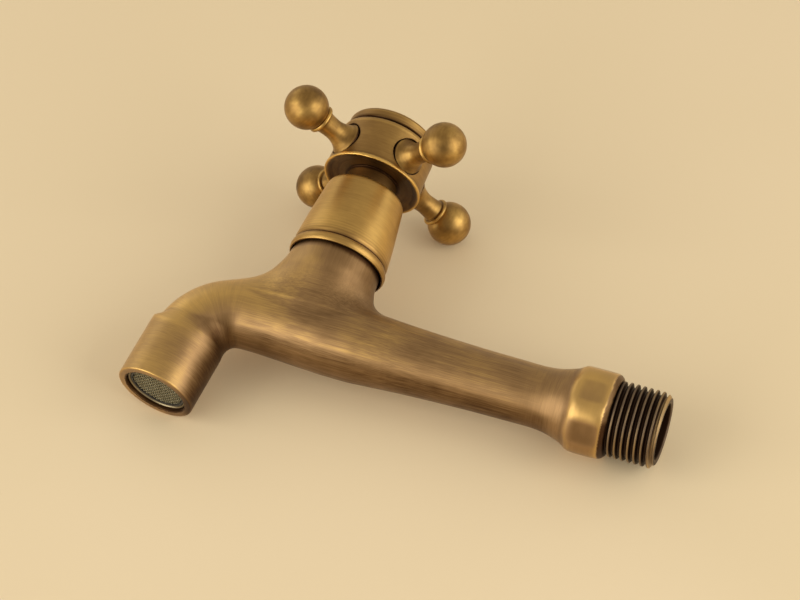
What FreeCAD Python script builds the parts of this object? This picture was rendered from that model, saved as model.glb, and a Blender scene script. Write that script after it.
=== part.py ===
"""A wall-mounted garden tap: a cast body with a threaded inlet and a turned-down spout, a quarter-turn
ceramic valve under a turned cover, a four-armed handle with ball ends, and an aerator in the spout.

Millimetres. The origin is the centre of the inlet's shoulder, +Y points into the wall along the inlet,
+Z points up the valve, and X = 0 is the plane that halves the body.
"""

import FreeCAD, Part
import math
import os

import Sketcher

DOC = FreeCAD.newDocument("wall_tap")
SHEET = DOC.addObject("Spreadsheet::Sheet", "Sizes")

# Driving dimensions, in millimetres and degrees
DIMENSIONS = {
    # inlet thread, G 1/2
    "thread_crest_radius": 10.4775,
    "thread_pitch": 1.814,
    "thread_depth": 1.162,
    "thread_crest_flat": 0.3,
    "thread_flank_angle": 27.5,
    "thread_length": 13.8,
    "thread_tip_chamfer": 0.6,
    "relief_width": 2.2,
    "relief_radius": 9.25,
    # hexagon behind the thread
    "hex_flats": 23.6,
    "hex_length": 10.3,
    "hex_core_radius": 11.3,
    "hex_corner_radius": 13.2,
    "hex_crown_length": 4.0,
    "hex_crown_curve": 6.0,
    "hex_end_bevel": 2.6,
    "hex_end_start_radius": 12.0,
    "hex_end_radius": 10.75,
    # inlet arm, from the wall to the valve
    "flare_reach": 20.0,
    "flare_curve": 16.3,
    "arm_thin_radius": 8.5,
    "arm_mid_reach": 50.0,
    "arm_mid_radius": 9.05,
    "arm_back_curve": 180.0,
    "belly_back": 16.5,
    "belly_back_radius": 10.35,
    "belly_curve": 61.7,
    "belly_front": 5.5,
    "belly_front_radius": 9.9,
    "arm_front_curve": 60.0,
    "spout_straight": 5.0,
    "valve_reach": 88.5,
    # spout
    "spout_run": 17.4,
    "spout_tube_radius": 9.5,
    "spout_bend_radius": 14.1,
    "spout_tilt": 5.85,
    "spout_drop": 18.0,
    "collar_length": 19.4,
    "collar_radius": 11.2,
    "collar_edge": 0.5,
    # neck that holds the valve
    "neck_radius": 13.2,
    "neck_foot_radius": 10.2,
    "neck_foot_height": 21.5,
    "neck_shoulder_height": 22.3,
    "neck_rim_radius": 12.0,
    "neck_top": 24.6,
    "neck_blend": 9.0,
    # waterways in the body
    "mouth_radius": 7.8,
    "mouth_depth": 12.0,
    "waterway_radius": 6.0,
    "waterway_end": 70.0,
    "passage_radius": 5.0,
    "passage_drop": 1.8,
    "pocket_floor": 6.6,
    "seat_hole_radius": 4.8,
    "seat_height": 5.0,
    "chamber_radius": 9.1,
    "thread_bore_floor": 18.0,
    "outlet_slant_radius": 3.8,
    "outlet_slant_start_out": 5.06,
    "outlet_slant_start_height": 13.4,
    "outlet_slant_angle": 43.4,
    "outlet_slant_length": 17.8,
    "aerator_bore_radius": 9.0,
    "aerator_bore_depth": 10.1,
    # valve cartridge
    "housing_radius": 8.3,
    "housing_bore_radius": 7.5,
    "housing_foot": 5.8,
    "housing_ceiling": 18.0,
    "bonnet_thread_radius": 10.45,
    "bonnet_hex_flats": 21.0,
    "bonnet_hex_height": 6.0,
    "bonnet_hex_round": 11.9,
    "cover_thread_radius": 10.8,
    "cover_thread_length": 6.0,
    "gland_radius": 8.0,
    "gland_height": 1.9,
    "window_width": 9.0,
    "window_floor": 13.6,
    "window_top": 15.9,
    "gasket_thickness": 1.0,
    "gasket_inner_radius": 10.55,
    "gasket_outer_radius": 11.9,
    "seal_inner_radius": 4.9,
    "seal_height": 2.2,
    "disc_thickness": 3.0,
    "disc_play": 0.05,
    "disc_side_gap": 0.1,
    "port_inner_radius": 1.8,
    "port_outer_radius": 5.8,
    "port_half_angle": 40.0,
    "key_width": 3.0,
    "key_reach": 8.2,
    "key_play": 0.1,
    # spindle and what rides on it
    "spindle_radius": 5.0,
    "spindle_running_clearance": 0.05,
    "foot_half_length": 6.7,
    "foot_width": 5.0,
    "foot_flange_radius": 7.2,
    "foot_flange_thickness": 1.0,
    "tongue_width": 3.0,
    "tongue_depth": 1.2,
    "ring_groove_radius": 3.15,
    "ring_groove_width": 2.0,
    "ring_cord_radius": 0.85,
    "ring_track_radius": 4.1,
    "lower_ring_height": 22.5,
    "upper_ring_height": 28.5,
    "washer_thickness": 0.9,
    "washer_inner_radius": 5.15,
    "clip_groove_radius": 4.2,
    "clip_inner_radius": 4.25,
    "clip_outer_radius": 6.4,
    "clip_thickness": 0.8,
    "clip_lift": 0.15,
    "clip_sweep": 320.0,
    "spline_radius": 4.0,
    "spline_root_radius": 3.6,
    "spline_teeth": 20,
    "spline_clearance": 0.06,
    "spindle_rise": 1.7,
    "spline_headroom": 0.9,
    # cover over the cartridge
    "cover_skirt_drop": 2.4,
    "cover_height": 24.7,
    "cover_bead_radius": 14.2,
    "cover_bead_height": 2.6,
    "cover_bead_round": 0.45,
    "cover_bead_curve": 2.1,
    "cover_groove_radius": 13.45,
    "cover_groove_height": 0.6,
    "cover_foot_radius": 13.8,
    "cover_run_height": 1.0,
    "cover_top_radius": 11.5,
    "cover_edge_height": 1.3,
    "cover_edge_curve": 1.4,
    "cover_rim_radius": 10.2,
    "cover_mouth_radius": 8.6,
    "cover_wide_bore_radius": 13.5,
    "cover_wide_bore_depth": 0.5,
    "cover_bore_radius": 12.3,
    "cover_hexagon_room": 0.6,
    "cover_clearance": 0.05,
    "cover_upper_bore_radius": 10.1,
    "cover_roof_thickness": 1.7,
    # handle hub
    "handle_turn": 46.4,
    "hub_gap": 4.3,
    "hub_height": 14.2,
    "hub_lip_radius": 14.4,
    "hub_lip_height": 0.9,
    "hub_lip_width": 0.9,
    "hub_waist_foot_radius": 14.15,
    "hub_waist_curve": 75.0,
    "hub_shoulder_radius": 14.0,
    "hub_edge_curve": 1.5,
    "hub_edge_height": 1.4,
    "hub_top_radius": 12.6,
    "hub_hollow_radius": 13.1,
    "hub_hollow_depth": 1.3,
    "boss_radius": 7.35,
    "boss_drop": 2.6,
    "socket_rise": 1.7,
    "screw_hole_radius": 2.2,
    "screw_web": 2.1,
    "screw_well_radius": 4.6,
    "cap_socket_radius": 9.05,
    "cap_socket_depth": 3.0,
    # handle arms
    "arm_rise": 6.4,
    "ball_reach": 29.0,
    "ball_radius": 6.34,
    "bead_radius": 4.35,
    "bead_width": 1.1,
    "bead_reach": 22.8,
    "stem_neck_radius": 3.3,
    "stem_waist_reach": 17.8,
    "stem_waist_radius": 2.95,
    "stem_foot_curve": 4.5,
    "stem_neck_curve": 14.0,
    "flange_radius": 5.0,
    "flange_seat": 12.6,
    "flange_face": 13.6,
    "spigot_radius": 2.95,
    "spigot_reach": 9.4,
    "arm_clearance": 0.05,
    # handle cap and screw
    "cap_radius": 12.85,
    "cap_bevel": 0.9,
    "cap_rim_height": 3.2,
    "cap_dome_height": 2.6,
    "cap_spigot_radius": 9.0,
    "cap_hollow_radius": 7.4,
    "cap_hollow_height": 3.4,
    "screw_head_radius": 3.8,
    "screw_head_height": 2.6,
    "screw_shank_radius": 1.95,
    "screw_tap_radius": 2.0,
    "screw_length": 11.0,
    "screw_tap_depth": 10.5,
    "screw_key_size": 1.45,
    "screw_key_depth": 1.6,
    # aerator, measured up the spout from its end face
    "aerator_recess": 1.0,
    "aerator_shell_height": 7.6,
    "aerator_shell_radius": 8.95,
    "aerator_shell_bore": 8.15,
    "aerator_shell_lip_bore": 6.5,
    "aerator_shell_lip": 0.8,
    "insert_recess": 1.3,
    "insert_radius": 8.1,
    "insert_height": 6.4,
    "screen_seat_radius": 7.55,
    "screen_seat_depth": 0.8,
    "insert_bore_radius": 6.9,
    "insert_plate_floor": 3.7,
    "insert_plate_thickness": 1.5,
    "insert_upper_radius": 7.2,
    "jet_radius": 0.8,
    "jet_circle_radius": 4.6,
    "jet_count": 12,
    "screen_thickness": 0.5,
    "screen_clearance": 0.05,
    "screen_pitch": 1.5,
    "screen_hole_radius": 0.5,
    "washer_height": 1.5,
    "washer_bore": 6.2,
}


class Size:
    """A size: its number now, and the expression over the sheet's cells that gives it."""

    def __init__(self, value, text):
        self.value = float(value)
        self.text = text

    def __add__(self, other):
        other = as_size(other)
        return Size(self.value + other.value, f"({self.text} + {other.text})")

    def __sub__(self, other):
        other = as_size(other)
        return Size(self.value - other.value, f"({self.text} - {other.text})")

    def __mul__(self, other):
        other = as_size(other)
        return Size(self.value * other.value, f"({self.text} * {other.text})")

    def __truediv__(self, other):
        other = as_size(other)
        return Size(self.value / other.value, f"({self.text} / {other.text})")

    def __neg__(self):
        return Size(-self.value, f"(0 - {self.text})")

    def __rtruediv__(self, other):
        return as_size(other) / self

    def __radd__(self, other):
        return as_size(other) + self

    def __rsub__(self, other):
        return as_size(other) - self

    def __rmul__(self, other):
        return as_size(other) * self


def as_size(number):
    """A plain number as a Size, so that both can be mixed."""
    if isinstance(number, Size):
        return number
    return Size(number, str(number))


def sin(angle):
    """The sine of an angle in degrees."""
    return Size(math.sin(math.radians(angle.value)), f"sin({angle.text} * 1 deg)")


def cos(angle):
    """The cosine of an angle in degrees."""
    return Size(math.cos(math.radians(angle.value)), f"cos({angle.text} * 1 deg)")


def tan(angle):
    """The tangent of an angle in degrees."""
    return Size(math.tan(math.radians(angle.value)), f"tan({angle.text} * 1 deg)")


def fill_sheet():
    """Writes each driving dimension into the sheet as a plain number with an alias."""
    sizes = type("Sizes", (), {})()
    for row, (alias, number) in enumerate(DIMENSIONS.items(), start=1):
        SHEET.set(f"A{row}", alias)
        SHEET.set(f"B{row}", str(number))
        SHEET.setAlias(f"B{row}", alias)
        setattr(sizes, alias, Size(number, f"Sizes.{alias}"))
    DOC.recompute()
    return sizes


S = fill_sheet()

# A cut right through a round piece is this many radii long
THROUGH = 3

# Rings of holes in an aerator screen
SCREEN_RINGS = 4

# How much a flank of a spline groove leans, for each millimetre of its depth
SPLINE_SLOPE = 0.6

# Places that several pieces share
CHEEK_ANGLE = 30
COS_30 = math.cos(math.radians(CHEEK_ANGLE))
ELBOW_START = S.valve_reach + S.spout_run
SPOUT_END_Y = -ELBOW_START - S.spout_bend_radius * cos(S.spout_tilt) - S.spout_drop * sin(S.spout_tilt)
SPOUT_END_Z = S.spout_bend_radius * (sin(S.spout_tilt) - 1) - S.spout_drop * cos(S.spout_tilt)
SEAL_TOP = S.seat_height + S.seal_height
FIXED_DISC_TOP = SEAL_TOP + S.disc_thickness
TURNING_DISC_FOOT = FIXED_DISC_TOP + S.disc_play
TURNING_DISC_TOP = TURNING_DISC_FOOT + S.disc_thickness
FLANGE_TOP = S.housing_ceiling - S.washer_thickness - S.disc_play
BONNET_HEX_FOOT = S.neck_top + S.gasket_thickness
BONNET_HEX_TOP = BONNET_HEX_FOOT + S.bonnet_hex_height
COVER_THREAD_TOP = BONNET_HEX_TOP + S.cover_thread_length
HOUSING_TOP = COVER_THREAD_TOP + S.gland_height
COVER_FOOT = S.neck_top - S.cover_skirt_drop
COVER_TOP = COVER_FOOT + S.cover_height
HUB_FOOT = COVER_TOP + S.hub_gap
HUB_TOP = HUB_FOOT + S.hub_height
ARM_HEIGHT = HUB_FOOT + S.arm_rise
BOSS_FOOT = COVER_TOP - S.boss_drop
SOCKET_TOP = HUB_FOOT + S.socket_rise
SCREW_SEAT = SOCKET_TOP + S.screw_web
SPLINE_FOOT = HOUSING_TOP + S.spindle_rise
SPLINE_TOP = SOCKET_TOP - S.spline_headroom
DISC_RADIUS = S.housing_bore_radius - S.disc_side_gap


def placement(base, axis=(0, 0, 1), angle=0):
    """The expression of a placement at base, turned by an angle in degrees about an axis."""
    spot = "; ".join(as_size(number).text for number in base)
    line = "; ".join(str(number) for number in axis)
    turn = f"create(<<rotation>>; create(<<vector>>; {line}); {as_size(angle).text})"
    return f"create(<<placement>>; create(<<vector>>; {spot}); {turn})"


def new_body(name, base=None, axis=(0, 0, 1), angle=0):
    """An empty body with its own label, standing on the valve's axis unless a base is given."""
    body = DOC.addObject("PartDesign::Body", name)
    body.Label = name
    spot = base or (0, -S.valve_reach, 0)
    body.setExpression("Placement", placement(spot, axis, angle))
    return body


def origin_feature(body, role):
    """One of a body's own origin planes or axes."""
    return next(f for f in body.Origin.OriginFeatures if f.Role == role)


def attach(feature, body, plane, shift, turn):
    """Lays a sketch or a primitive on an origin plane, shifted and turned within it."""
    feature.AttachmentSupport = [(origin_feature(body, plane), "")]
    feature.MapMode = "FlatFace"
    feature.setExpression("AttachmentOffset", placement(shift, (0, 0, 1), turn))


def fix_point(rules, bound, geometry, end, point):
    """Holds one point of a sketch at its x and y, each bound to the sheet where it is a size."""
    for kind, number in zip(("DistanceX", "DistanceY"), point):
        size = as_size(number)
        if not isinstance(number, Size) and number == 0:
            axis = -2 if kind == "DistanceX" else -1
            rules.append(Sketcher.Constraint("PointOnObject", geometry, end, axis))
            continue
        rules.append(Sketcher.Constraint(kind, geometry, end, size.value))
        bound.append((len(rules) - 1, size))


def finish_sketch(sketch, rules, bound):
    """Adds the constraints and binds their numbers to the sheet."""
    sketch.addConstraint(rules)
    for index, size in bound:
        sketch.setExpression(f"Constraints[{index}]", size.text)
    return sketch


def outline(body, name, plane, corners, shift=(0, 0, 0), turn=0):
    """A closed outline. A corner is (x, y), or (x, y, radius, bend) where an arc leads to it.

    A bend of 1 turns the arc to the left and -1 to the right, seen along the outline.
    """
    sketch = body.newObject("Sketcher::SketchObject", name)
    attach(sketch, body, plane, shift, turn)
    spots = [FreeCAD.Vector(as_size(c[0]).value, as_size(c[1]).value, 0) for c in corners]
    rules, bound, ends = [], [], []
    for index, corner in enumerate(corners):
        before, here = spots[index - 1], spots[index]
        if len(corner) == 2:
            sketch.addGeometry(Part.LineSegment(before, here))
            ends.append((1, 2))
            continue
        radius, bend = corner[2], corner[3]
        chord = here - before
        rise = math.sqrt(max(radius.value**2 - chord.Length**2 / 4, 0))
        left = FreeCAD.Vector(-chord.y, chord.x, 0).normalize()
        centre = (before + here) * 0.5 + left * rise * bend
        first, last = (before, here) if bend > 0 else (here, before)
        angles = [math.atan2(p.y - centre.y, p.x - centre.x) for p in (first, last)]
        circle = Part.Circle(centre, FreeCAD.Vector(0, 0, 1), radius.value)
        sketch.addGeometry(Part.ArcOfCircle(circle, *angles))
        ends.append((1, 2) if bend > 0 else (2, 1))
        rules.append(Sketcher.Constraint("Radius", index, radius.value))
        bound.append((len(rules) - 1, radius))
    for index, corner in enumerate(corners):
        following = (index + 1) % len(corners)
        rules.append(Sketcher.Constraint("Coincident", index, ends[index][1], following, ends[following][0]))
        fix_point(rules, bound, index, ends[index][1], corner[:2])
    return finish_sketch(sketch, rules, bound)


def disc_sketch(body, name, plane, centre, radius, shift=(0, 0, 0), turn=0):
    """A sketch with one circle."""
    sketch = body.newObject("Sketcher::SketchObject", name)
    attach(sketch, body, plane, shift, turn)
    spot = FreeCAD.Vector(as_size(centre[0]).value, as_size(centre[1]).value, 0)
    sketch.addGeometry(Part.Circle(spot, FreeCAD.Vector(0, 0, 1), radius.value))
    rules, bound = [Sketcher.Constraint("Radius", 0, radius.value)], [(0, radius)]
    fix_point(rules, bound, 0, 3, centre)
    return finish_sketch(sketch, rules, bound)


def turn_solid(body, name, sketch, axis="V_Axis", angle=360, cut=False):
    """Turns a sketch about one of its axes, to add material or to cut it away."""
    kind = "PartDesign::Groove" if cut else "PartDesign::Revolution"
    feature = body.newObject(kind, name)
    feature.Profile = sketch
    feature.ReferenceAxis = (sketch, [axis])
    feature.setExpression("Angle", as_size(angle).text)
    return feature


def draw_solid(body, name, sketch, length, cut=False, both_ways=False, reverse=False):
    """Draws a sketch straight out of its plane, to add material or to cut it away."""
    kind = "PartDesign::Pocket" if cut else "PartDesign::Pad"
    feature = body.newObject(kind, name)
    feature.Profile = sketch
    feature.setExpression("Length", as_size(length).text)
    feature.SideType = "Symmetric" if both_ways else "One side"
    feature.Reversed = reverse
    return feature


def hexagon(body, name, plane, shift, turn, flats, height, cut=False):
    """A hexagonal prism, given across its flats, that grows along its plane's normal."""
    kind = "PartDesign::SubtractivePrism" if cut else "PartDesign::AdditivePrism"
    feature = body.newObject(kind, name)
    attach(feature, body, plane, shift, turn)
    feature.Polygon = 6
    feature.setExpression("Circumradius", (flats / 2 / COS_30).text)
    feature.setExpression("Height", as_size(height).text)
    return feature


def repeat(body, name, feature, count):
    """Repeats a feature evenly around the body's own Z axis."""
    pattern = body.newObject("PartDesign::PolarPattern", name)
    pattern.Originals = [feature]
    pattern.Axis = (origin_feature(body, "Z_Axis"), [""])
    pattern.Angle = 360
    pattern.setExpression("Occurrences", as_size(count).text)
    body.Tip = pattern
    return pattern


def ring(name, inner, outer, foot, top):
    """A plain ring about the valve's axis."""
    body = new_body(name)
    section = outline(body, name + "_outline", "XZ_Plane", [(inner, foot), (outer, foot), (outer, top), (inner, top)])
    turn_solid(body, name + "_turned", section)
    return body


# Cast body
def add_arm(body):
    """The inlet arm and its thread blank, turned about the inlet's axis."""
    section = outline(
        body,
        "arm_outline",
        "YZ_Plane",
        [
            (-ELBOW_START, 0),
            (-ELBOW_START, S.spout_tube_radius),
            (S.spout_straight - ELBOW_START, S.spout_tube_radius),
            (-(S.valve_reach + S.belly_front), S.belly_front_radius, S.arm_front_curve, 1),
            (-(S.valve_reach - S.belly_back), S.belly_back_radius, S.belly_curve, -1),
            (-S.arm_mid_reach, S.arm_mid_radius, S.arm_back_curve, 1),
            (-S.flare_reach, S.arm_thin_radius),
            (-S.hex_length, S.hex_core_radius, S.flare_curve, 1),
            (-S.hex_end_bevel, S.hex_core_radius),
            (0, S.hex_end_radius),
            (0, S.relief_radius),
            (S.relief_width, S.relief_radius),
            (S.relief_width + S.thread_depth, S.thread_crest_radius),
            (S.thread_length - S.thread_tip_chamfer, S.thread_crest_radius),
            (S.thread_length, S.thread_crest_radius - S.thread_tip_chamfer),
            (S.thread_length, 0),
        ],
    )
    turn_solid(body, "arm", section, "H_Axis")


def add_hexagon(body):
    """The spanner hexagon, its corners crowned towards the arm and bevelled towards the thread."""
    hexagon(body, "hexagon", "XZ_Plane", (0, 0, 0), CHEEK_ANGLE, S.hex_flats, S.hex_length)
    outside = S.hex_flats
    section = outline(
        body,
        "hexagon_crown_outline",
        "YZ_Plane",
        [
            (-S.hex_length, S.hex_core_radius),
            (S.hex_crown_length - S.hex_length, S.hex_corner_radius, S.hex_crown_curve, -1),
            (-S.hex_end_bevel, S.hex_corner_radius),
            (-S.hex_end_bevel, S.hex_end_start_radius),
            (0, S.hex_end_radius),
            (0, outside),
            (-S.hex_length, outside),
        ],
    )
    turn_solid(body, "hexagon_crown", section, "H_Axis", cut=True)


def add_spout(body):
    """The elbow and the straight collar at its end."""
    bend = disc_sketch(
        body,
        "elbow_outline",
        "XZ_Plane",
        (0, S.spout_bend_radius),
        S.spout_tube_radius,
        (0, -S.spout_bend_radius, ELBOW_START),
    )
    turn_solid(body, "elbow", bend, "H_Axis", 90 - S.spout_tilt)
    section = outline(
        body,
        "collar_outline",
        "YZ_Plane",
        [
            (0, 0),
            (S.collar_radius - S.collar_edge, 0),
            (S.collar_radius, S.collar_edge),
            (S.collar_radius, S.collar_length - S.collar_edge),
            (S.collar_radius - S.collar_edge, S.collar_length),
            (0, S.collar_length),
        ],
        (SPOUT_END_Y, SPOUT_END_Z, 0),
        -S.spout_tilt,
    )
    turn_solid(body, "collar", section)


def add_neck(body):
    """The neck that takes the valve, tapered into the arm and blended all round its foot."""
    section = outline(
        body,
        "neck_outline",
        "YZ_Plane",
        [
            (0, 0),
            (S.neck_foot_radius, 0),
            (S.neck_radius, S.neck_foot_height),
            (S.neck_radius, S.neck_shoulder_height),
            (S.neck_rim_radius, S.neck_shoulder_height + S.neck_radius - S.neck_rim_radius),
            (S.neck_rim_radius, S.neck_top),
            (0, S.neck_top),
        ],
        (-S.valve_reach, 0, 0),
    )
    neck = turn_solid(body, "neck", section)
    DOC.recompute()
    blend = body.newObject("PartDesign::Fillet", "neck_blend")
    blend.Base = (neck, neck_foot_edges(neck.Shape))
    blend.setExpression("Radius", S.neck_blend.text)


def neck_foot_edges(shape):
    """The edges where the neck meets the arm and the elbow."""
    names = []
    for number, edge in enumerate(shape.Edges, start=1):
        points = edge.discretize(9)
        from_valve = [math.hypot(p.x, p.y + S.valve_reach.value) for p in points]
        on_neck = all(S.neck_foot_radius.value <= d <= S.neck_radius.value + 0.01 for d in from_valve)
        above_middle = all(0.5 < p.z < S.neck_foot_height.value - 0.5 for p in points)
        if on_neck and above_middle:
            names.append(f"Edge{number}")
    return names


def cut_waterways(body):
    """The inlet bore, the pocket under the seat, the valve chamber and the way out to the aerator."""
    inlet = outline(
        body,
        "inlet_bore_outline",
        "YZ_Plane",
        [
            (S.thread_length, 0),
            (S.thread_length, S.mouth_radius),
            (S.thread_length - S.mouth_depth, S.mouth_radius),
            (S.thread_length - S.mouth_depth + S.waterway_radius - S.mouth_radius, S.waterway_radius),
            (-S.waterway_end, S.waterway_radius),
            (-S.waterway_end, 0),
        ],
    )
    turn_solid(body, "inlet_bore", inlet, "H_Axis", cut=True)
    passage = disc_sketch(
        body,
        "passage_outline",
        "XZ_Plane",
        (0, -S.passage_drop),
        S.passage_radius,
        (0, 0, S.waterway_end - S.passage_radius),
    )
    draw_solid(
        body, "passage", passage, S.valve_reach - S.waterway_end + S.passage_radius, cut=True, reverse=True
    )
    chamber = outline(
        body,
        "chamber_outline",
        "YZ_Plane",
        [
            (0, -S.pocket_floor),
            (S.seat_hole_radius, -S.pocket_floor),
            (S.seat_hole_radius, S.seat_height),
            (S.chamber_radius, S.seat_height),
            (S.chamber_radius, S.thread_bore_floor),
            (S.bonnet_thread_radius, S.thread_bore_floor),
            (S.bonnet_thread_radius, S.neck_top),
            (0, S.neck_top),
        ],
        (-S.valve_reach, 0, 0),
    )
    turn_solid(body, "chamber", chamber, cut=True)
    slant = outline(
        body,
        "outlet_slant_outline",
        "YZ_Plane",
        [
            (0, 0),
            (S.outlet_slant_radius, 0),
            (S.outlet_slant_radius, -S.outlet_slant_length),
            (0, -S.outlet_slant_length),
        ],
        (-(S.valve_reach + S.outlet_slant_start_out), S.outlet_slant_start_height, 0),
        -S.outlet_slant_angle,
    )
    turn_solid(body, "outlet_slant", slant, cut=True)
    bend = disc_sketch(
        body,
        "elbow_bore_outline",
        "XZ_Plane",
        (0, S.spout_bend_radius),
        S.waterway_radius,
        (0, -S.spout_bend_radius, ELBOW_START),
    )
    turn_solid(body, "elbow_bore", bend, "H_Axis", 90 - S.spout_tilt, cut=True)
    outlet = outline(
        body,
        "aerator_bore_outline",
        "YZ_Plane",
        [
            (0, 0),
            (S.aerator_bore_radius, 0),
            (S.aerator_bore_radius, S.aerator_bore_depth),
            (S.waterway_radius, S.aerator_bore_depth),
            (S.waterway_radius, S.spout_drop),
            (0, S.spout_drop),
        ],
        (SPOUT_END_Y, SPOUT_END_Z, 0),
        -S.spout_tilt,
    )
    turn_solid(body, "aerator_bore", outlet, cut=True)


def cut_thread(body):
    """The inlet's thread: one V-shaped helical groove from the relief out past the tip."""
    root_radius = S.thread_crest_radius - S.thread_depth
    slope = tan(S.thread_flank_angle)
    proud = S.thread_depth / 4
    mouth = (S.thread_pitch - S.thread_crest_flat) / 2
    half_root = mouth - S.thread_depth * slope
    half_mouth = mouth + proud * slope
    start = S.relief_width / 2
    section = outline(
        body,
        "thread_outline",
        "YZ_Plane",
        [
            (start - half_root, root_radius),
            (start + half_root, root_radius),
            (start + half_mouth, S.thread_crest_radius + proud),
            (start - half_mouth, S.thread_crest_radius + proud),
        ],
    )
    helix = body.newObject("PartDesign::SubtractiveHelix", "thread")
    helix.Profile = section
    helix.ReferenceAxis = (section, ["H_Axis"])
    helix.Mode = "pitch-height-angle"
    helix.setExpression("Pitch", S.thread_pitch.text)
    helix.setExpression("Height", S.thread_length.text)
    helix.Angle = 0


def make_tap_body():
    body = new_body("tap_body", (0, 0, 0))
    add_arm(body)
    add_hexagon(body)
    add_spout(body)
    add_neck(body)
    cut_waterways(body)
    cut_thread(body)
    return body


# Valve cartridge
def make_cartridge_housing():
    """The brass headwork: a windowed skirt, the bonnet thread, a hexagon and the gland."""
    body = new_body("cartridge_housing")
    bore = S.spindle_radius + S.spindle_running_clearance
    section = outline(
        body,
        "housing_outline",
        "XZ_Plane",
        [
            (S.housing_bore_radius, S.housing_foot),
            (S.housing_radius, S.housing_foot),
            (S.housing_radius, S.thread_bore_floor),
            (S.bonnet_thread_radius, S.thread_bore_floor),
            (S.bonnet_thread_radius, BONNET_HEX_TOP),
            (S.cover_thread_radius, BONNET_HEX_TOP),
            (S.cover_thread_radius, COVER_THREAD_TOP),
            (S.gland_radius, COVER_THREAD_TOP),
            (S.gland_radius, HOUSING_TOP),
            (bore, HOUSING_TOP),
            (bore, S.housing_ceiling),
            (S.housing_bore_radius, S.housing_ceiling),
        ],
    )
    turn_solid(body, "housing", section)
    hexagon(body, "bonnet_hexagon", "XY_Plane", (0, 0, BONNET_HEX_FOOT), 0, S.bonnet_hex_flats, S.bonnet_hex_height)
    corners = outline(
        body,
        "bonnet_corner_outline",
        "XZ_Plane",
        [
            (S.bonnet_hex_round, BONNET_HEX_FOOT),
            (S.bonnet_hex_flats, BONNET_HEX_FOOT),
            (S.bonnet_hex_flats, BONNET_HEX_TOP),
            (S.bonnet_hex_round, BONNET_HEX_TOP),
        ],
    )
    turn_solid(body, "bonnet_corners", corners, cut=True)
    clear = outline(
        body,
        "bonnet_bore_outline",
        "XZ_Plane",
        [(0, BONNET_HEX_FOOT), (bore, BONNET_HEX_FOOT), (bore, BONNET_HEX_TOP), (0, BONNET_HEX_TOP)],
    )
    turn_solid(body, "bonnet_bore", clear, cut=True)
    windows = outline(
        body,
        "window_outline",
        "XZ_Plane",
        [
            (-S.window_width / 2, S.window_floor),
            (S.window_width / 2, S.window_floor),
            (S.window_width / 2, S.window_top),
            (-S.window_width / 2, S.window_top),
        ],
    )
    draw_solid(body, "windows", windows, S.housing_radius * THROUGH, cut=True, both_ways=True)
    slot = S.key_width / 2 + S.key_play
    keyways = outline(
        body,
        "keyway_outline",
        "YZ_Plane",
        [
            (-slot, S.housing_foot),
            (slot, S.housing_foot),
            (slot, FIXED_DISC_TOP + S.key_play),
            (-slot, FIXED_DISC_TOP + S.key_play),
        ],
    )
    draw_solid(body, "keyways", keyways, S.housing_radius * THROUGH, cut=True, both_ways=True)
    return body


def cut_ports(body, height):
    """Two sector-shaped ports through a ceramic disc, opposite each other."""
    reach_x, reach_y = cos(S.port_half_angle), sin(S.port_half_angle)
    inner_x, inner_y = S.port_inner_radius * reach_x, S.port_inner_radius * reach_y
    outer_x, outer_y = S.port_outer_radius * reach_x, S.port_outer_radius * reach_y
    section = outline(
        body,
        "port_outline",
        "XY_Plane",
        [
            (inner_x, -inner_y, S.port_inner_radius, -1),
            (outer_x, -outer_y),
            (outer_x, outer_y, S.port_outer_radius, 1),
            (inner_x, inner_y),
        ],
        (0, 0, height),
    )
    port = draw_solid(body, "port", section, S.disc_thickness, cut=True, reverse=True)
    repeat(body, "ports", port, 2)


def make_fixed_disc():
    """The ceramic disc that stays put, with a key on each side in the housing's keyways."""
    body = new_body("fixed_disc")
    blank = disc_sketch(body, "disc_outline", "XY_Plane", (0, 0), DISC_RADIUS, (0, 0, SEAL_TOP))
    draw_solid(body, "disc", blank, S.disc_thickness)
    key = S.key_width / 2
    keys = outline(
        body,
        "key_outline",
        "XY_Plane",
        [(-S.key_reach, -key), (S.key_reach, -key), (S.key_reach, key), (-S.key_reach, key)],
        (0, 0, SEAL_TOP),
    )
    draw_solid(body, "keys", keys, S.disc_thickness)
    cut_ports(body, SEAL_TOP)
    return body


def make_rotating_disc():
    """The ceramic disc that turns: its ports lie across the fixed ones while the tap is shut."""
    body = new_body("rotating_disc", angle=90)
    blank = disc_sketch(body, "disc_outline", "XY_Plane", (0, 0), DISC_RADIUS, (0, 0, TURNING_DISC_FOOT))
    draw_solid(body, "disc", blank, S.disc_thickness)
    cut_ports(body, TURNING_DISC_FOOT)
    slot = S.tongue_width / 2 + S.key_play
    foot = TURNING_DISC_TOP - S.tongue_depth - S.key_play
    groove = outline(
        body,
        "drive_slot_outline",
        "XZ_Plane",
        [(-slot, foot), (slot, foot), (slot, TURNING_DISC_TOP), (-slot, TURNING_DISC_TOP)],
    )
    draw_solid(body, "drive_slot", groove, S.housing_bore_radius * THROUGH, cut=True, both_ways=True)
    return body


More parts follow.
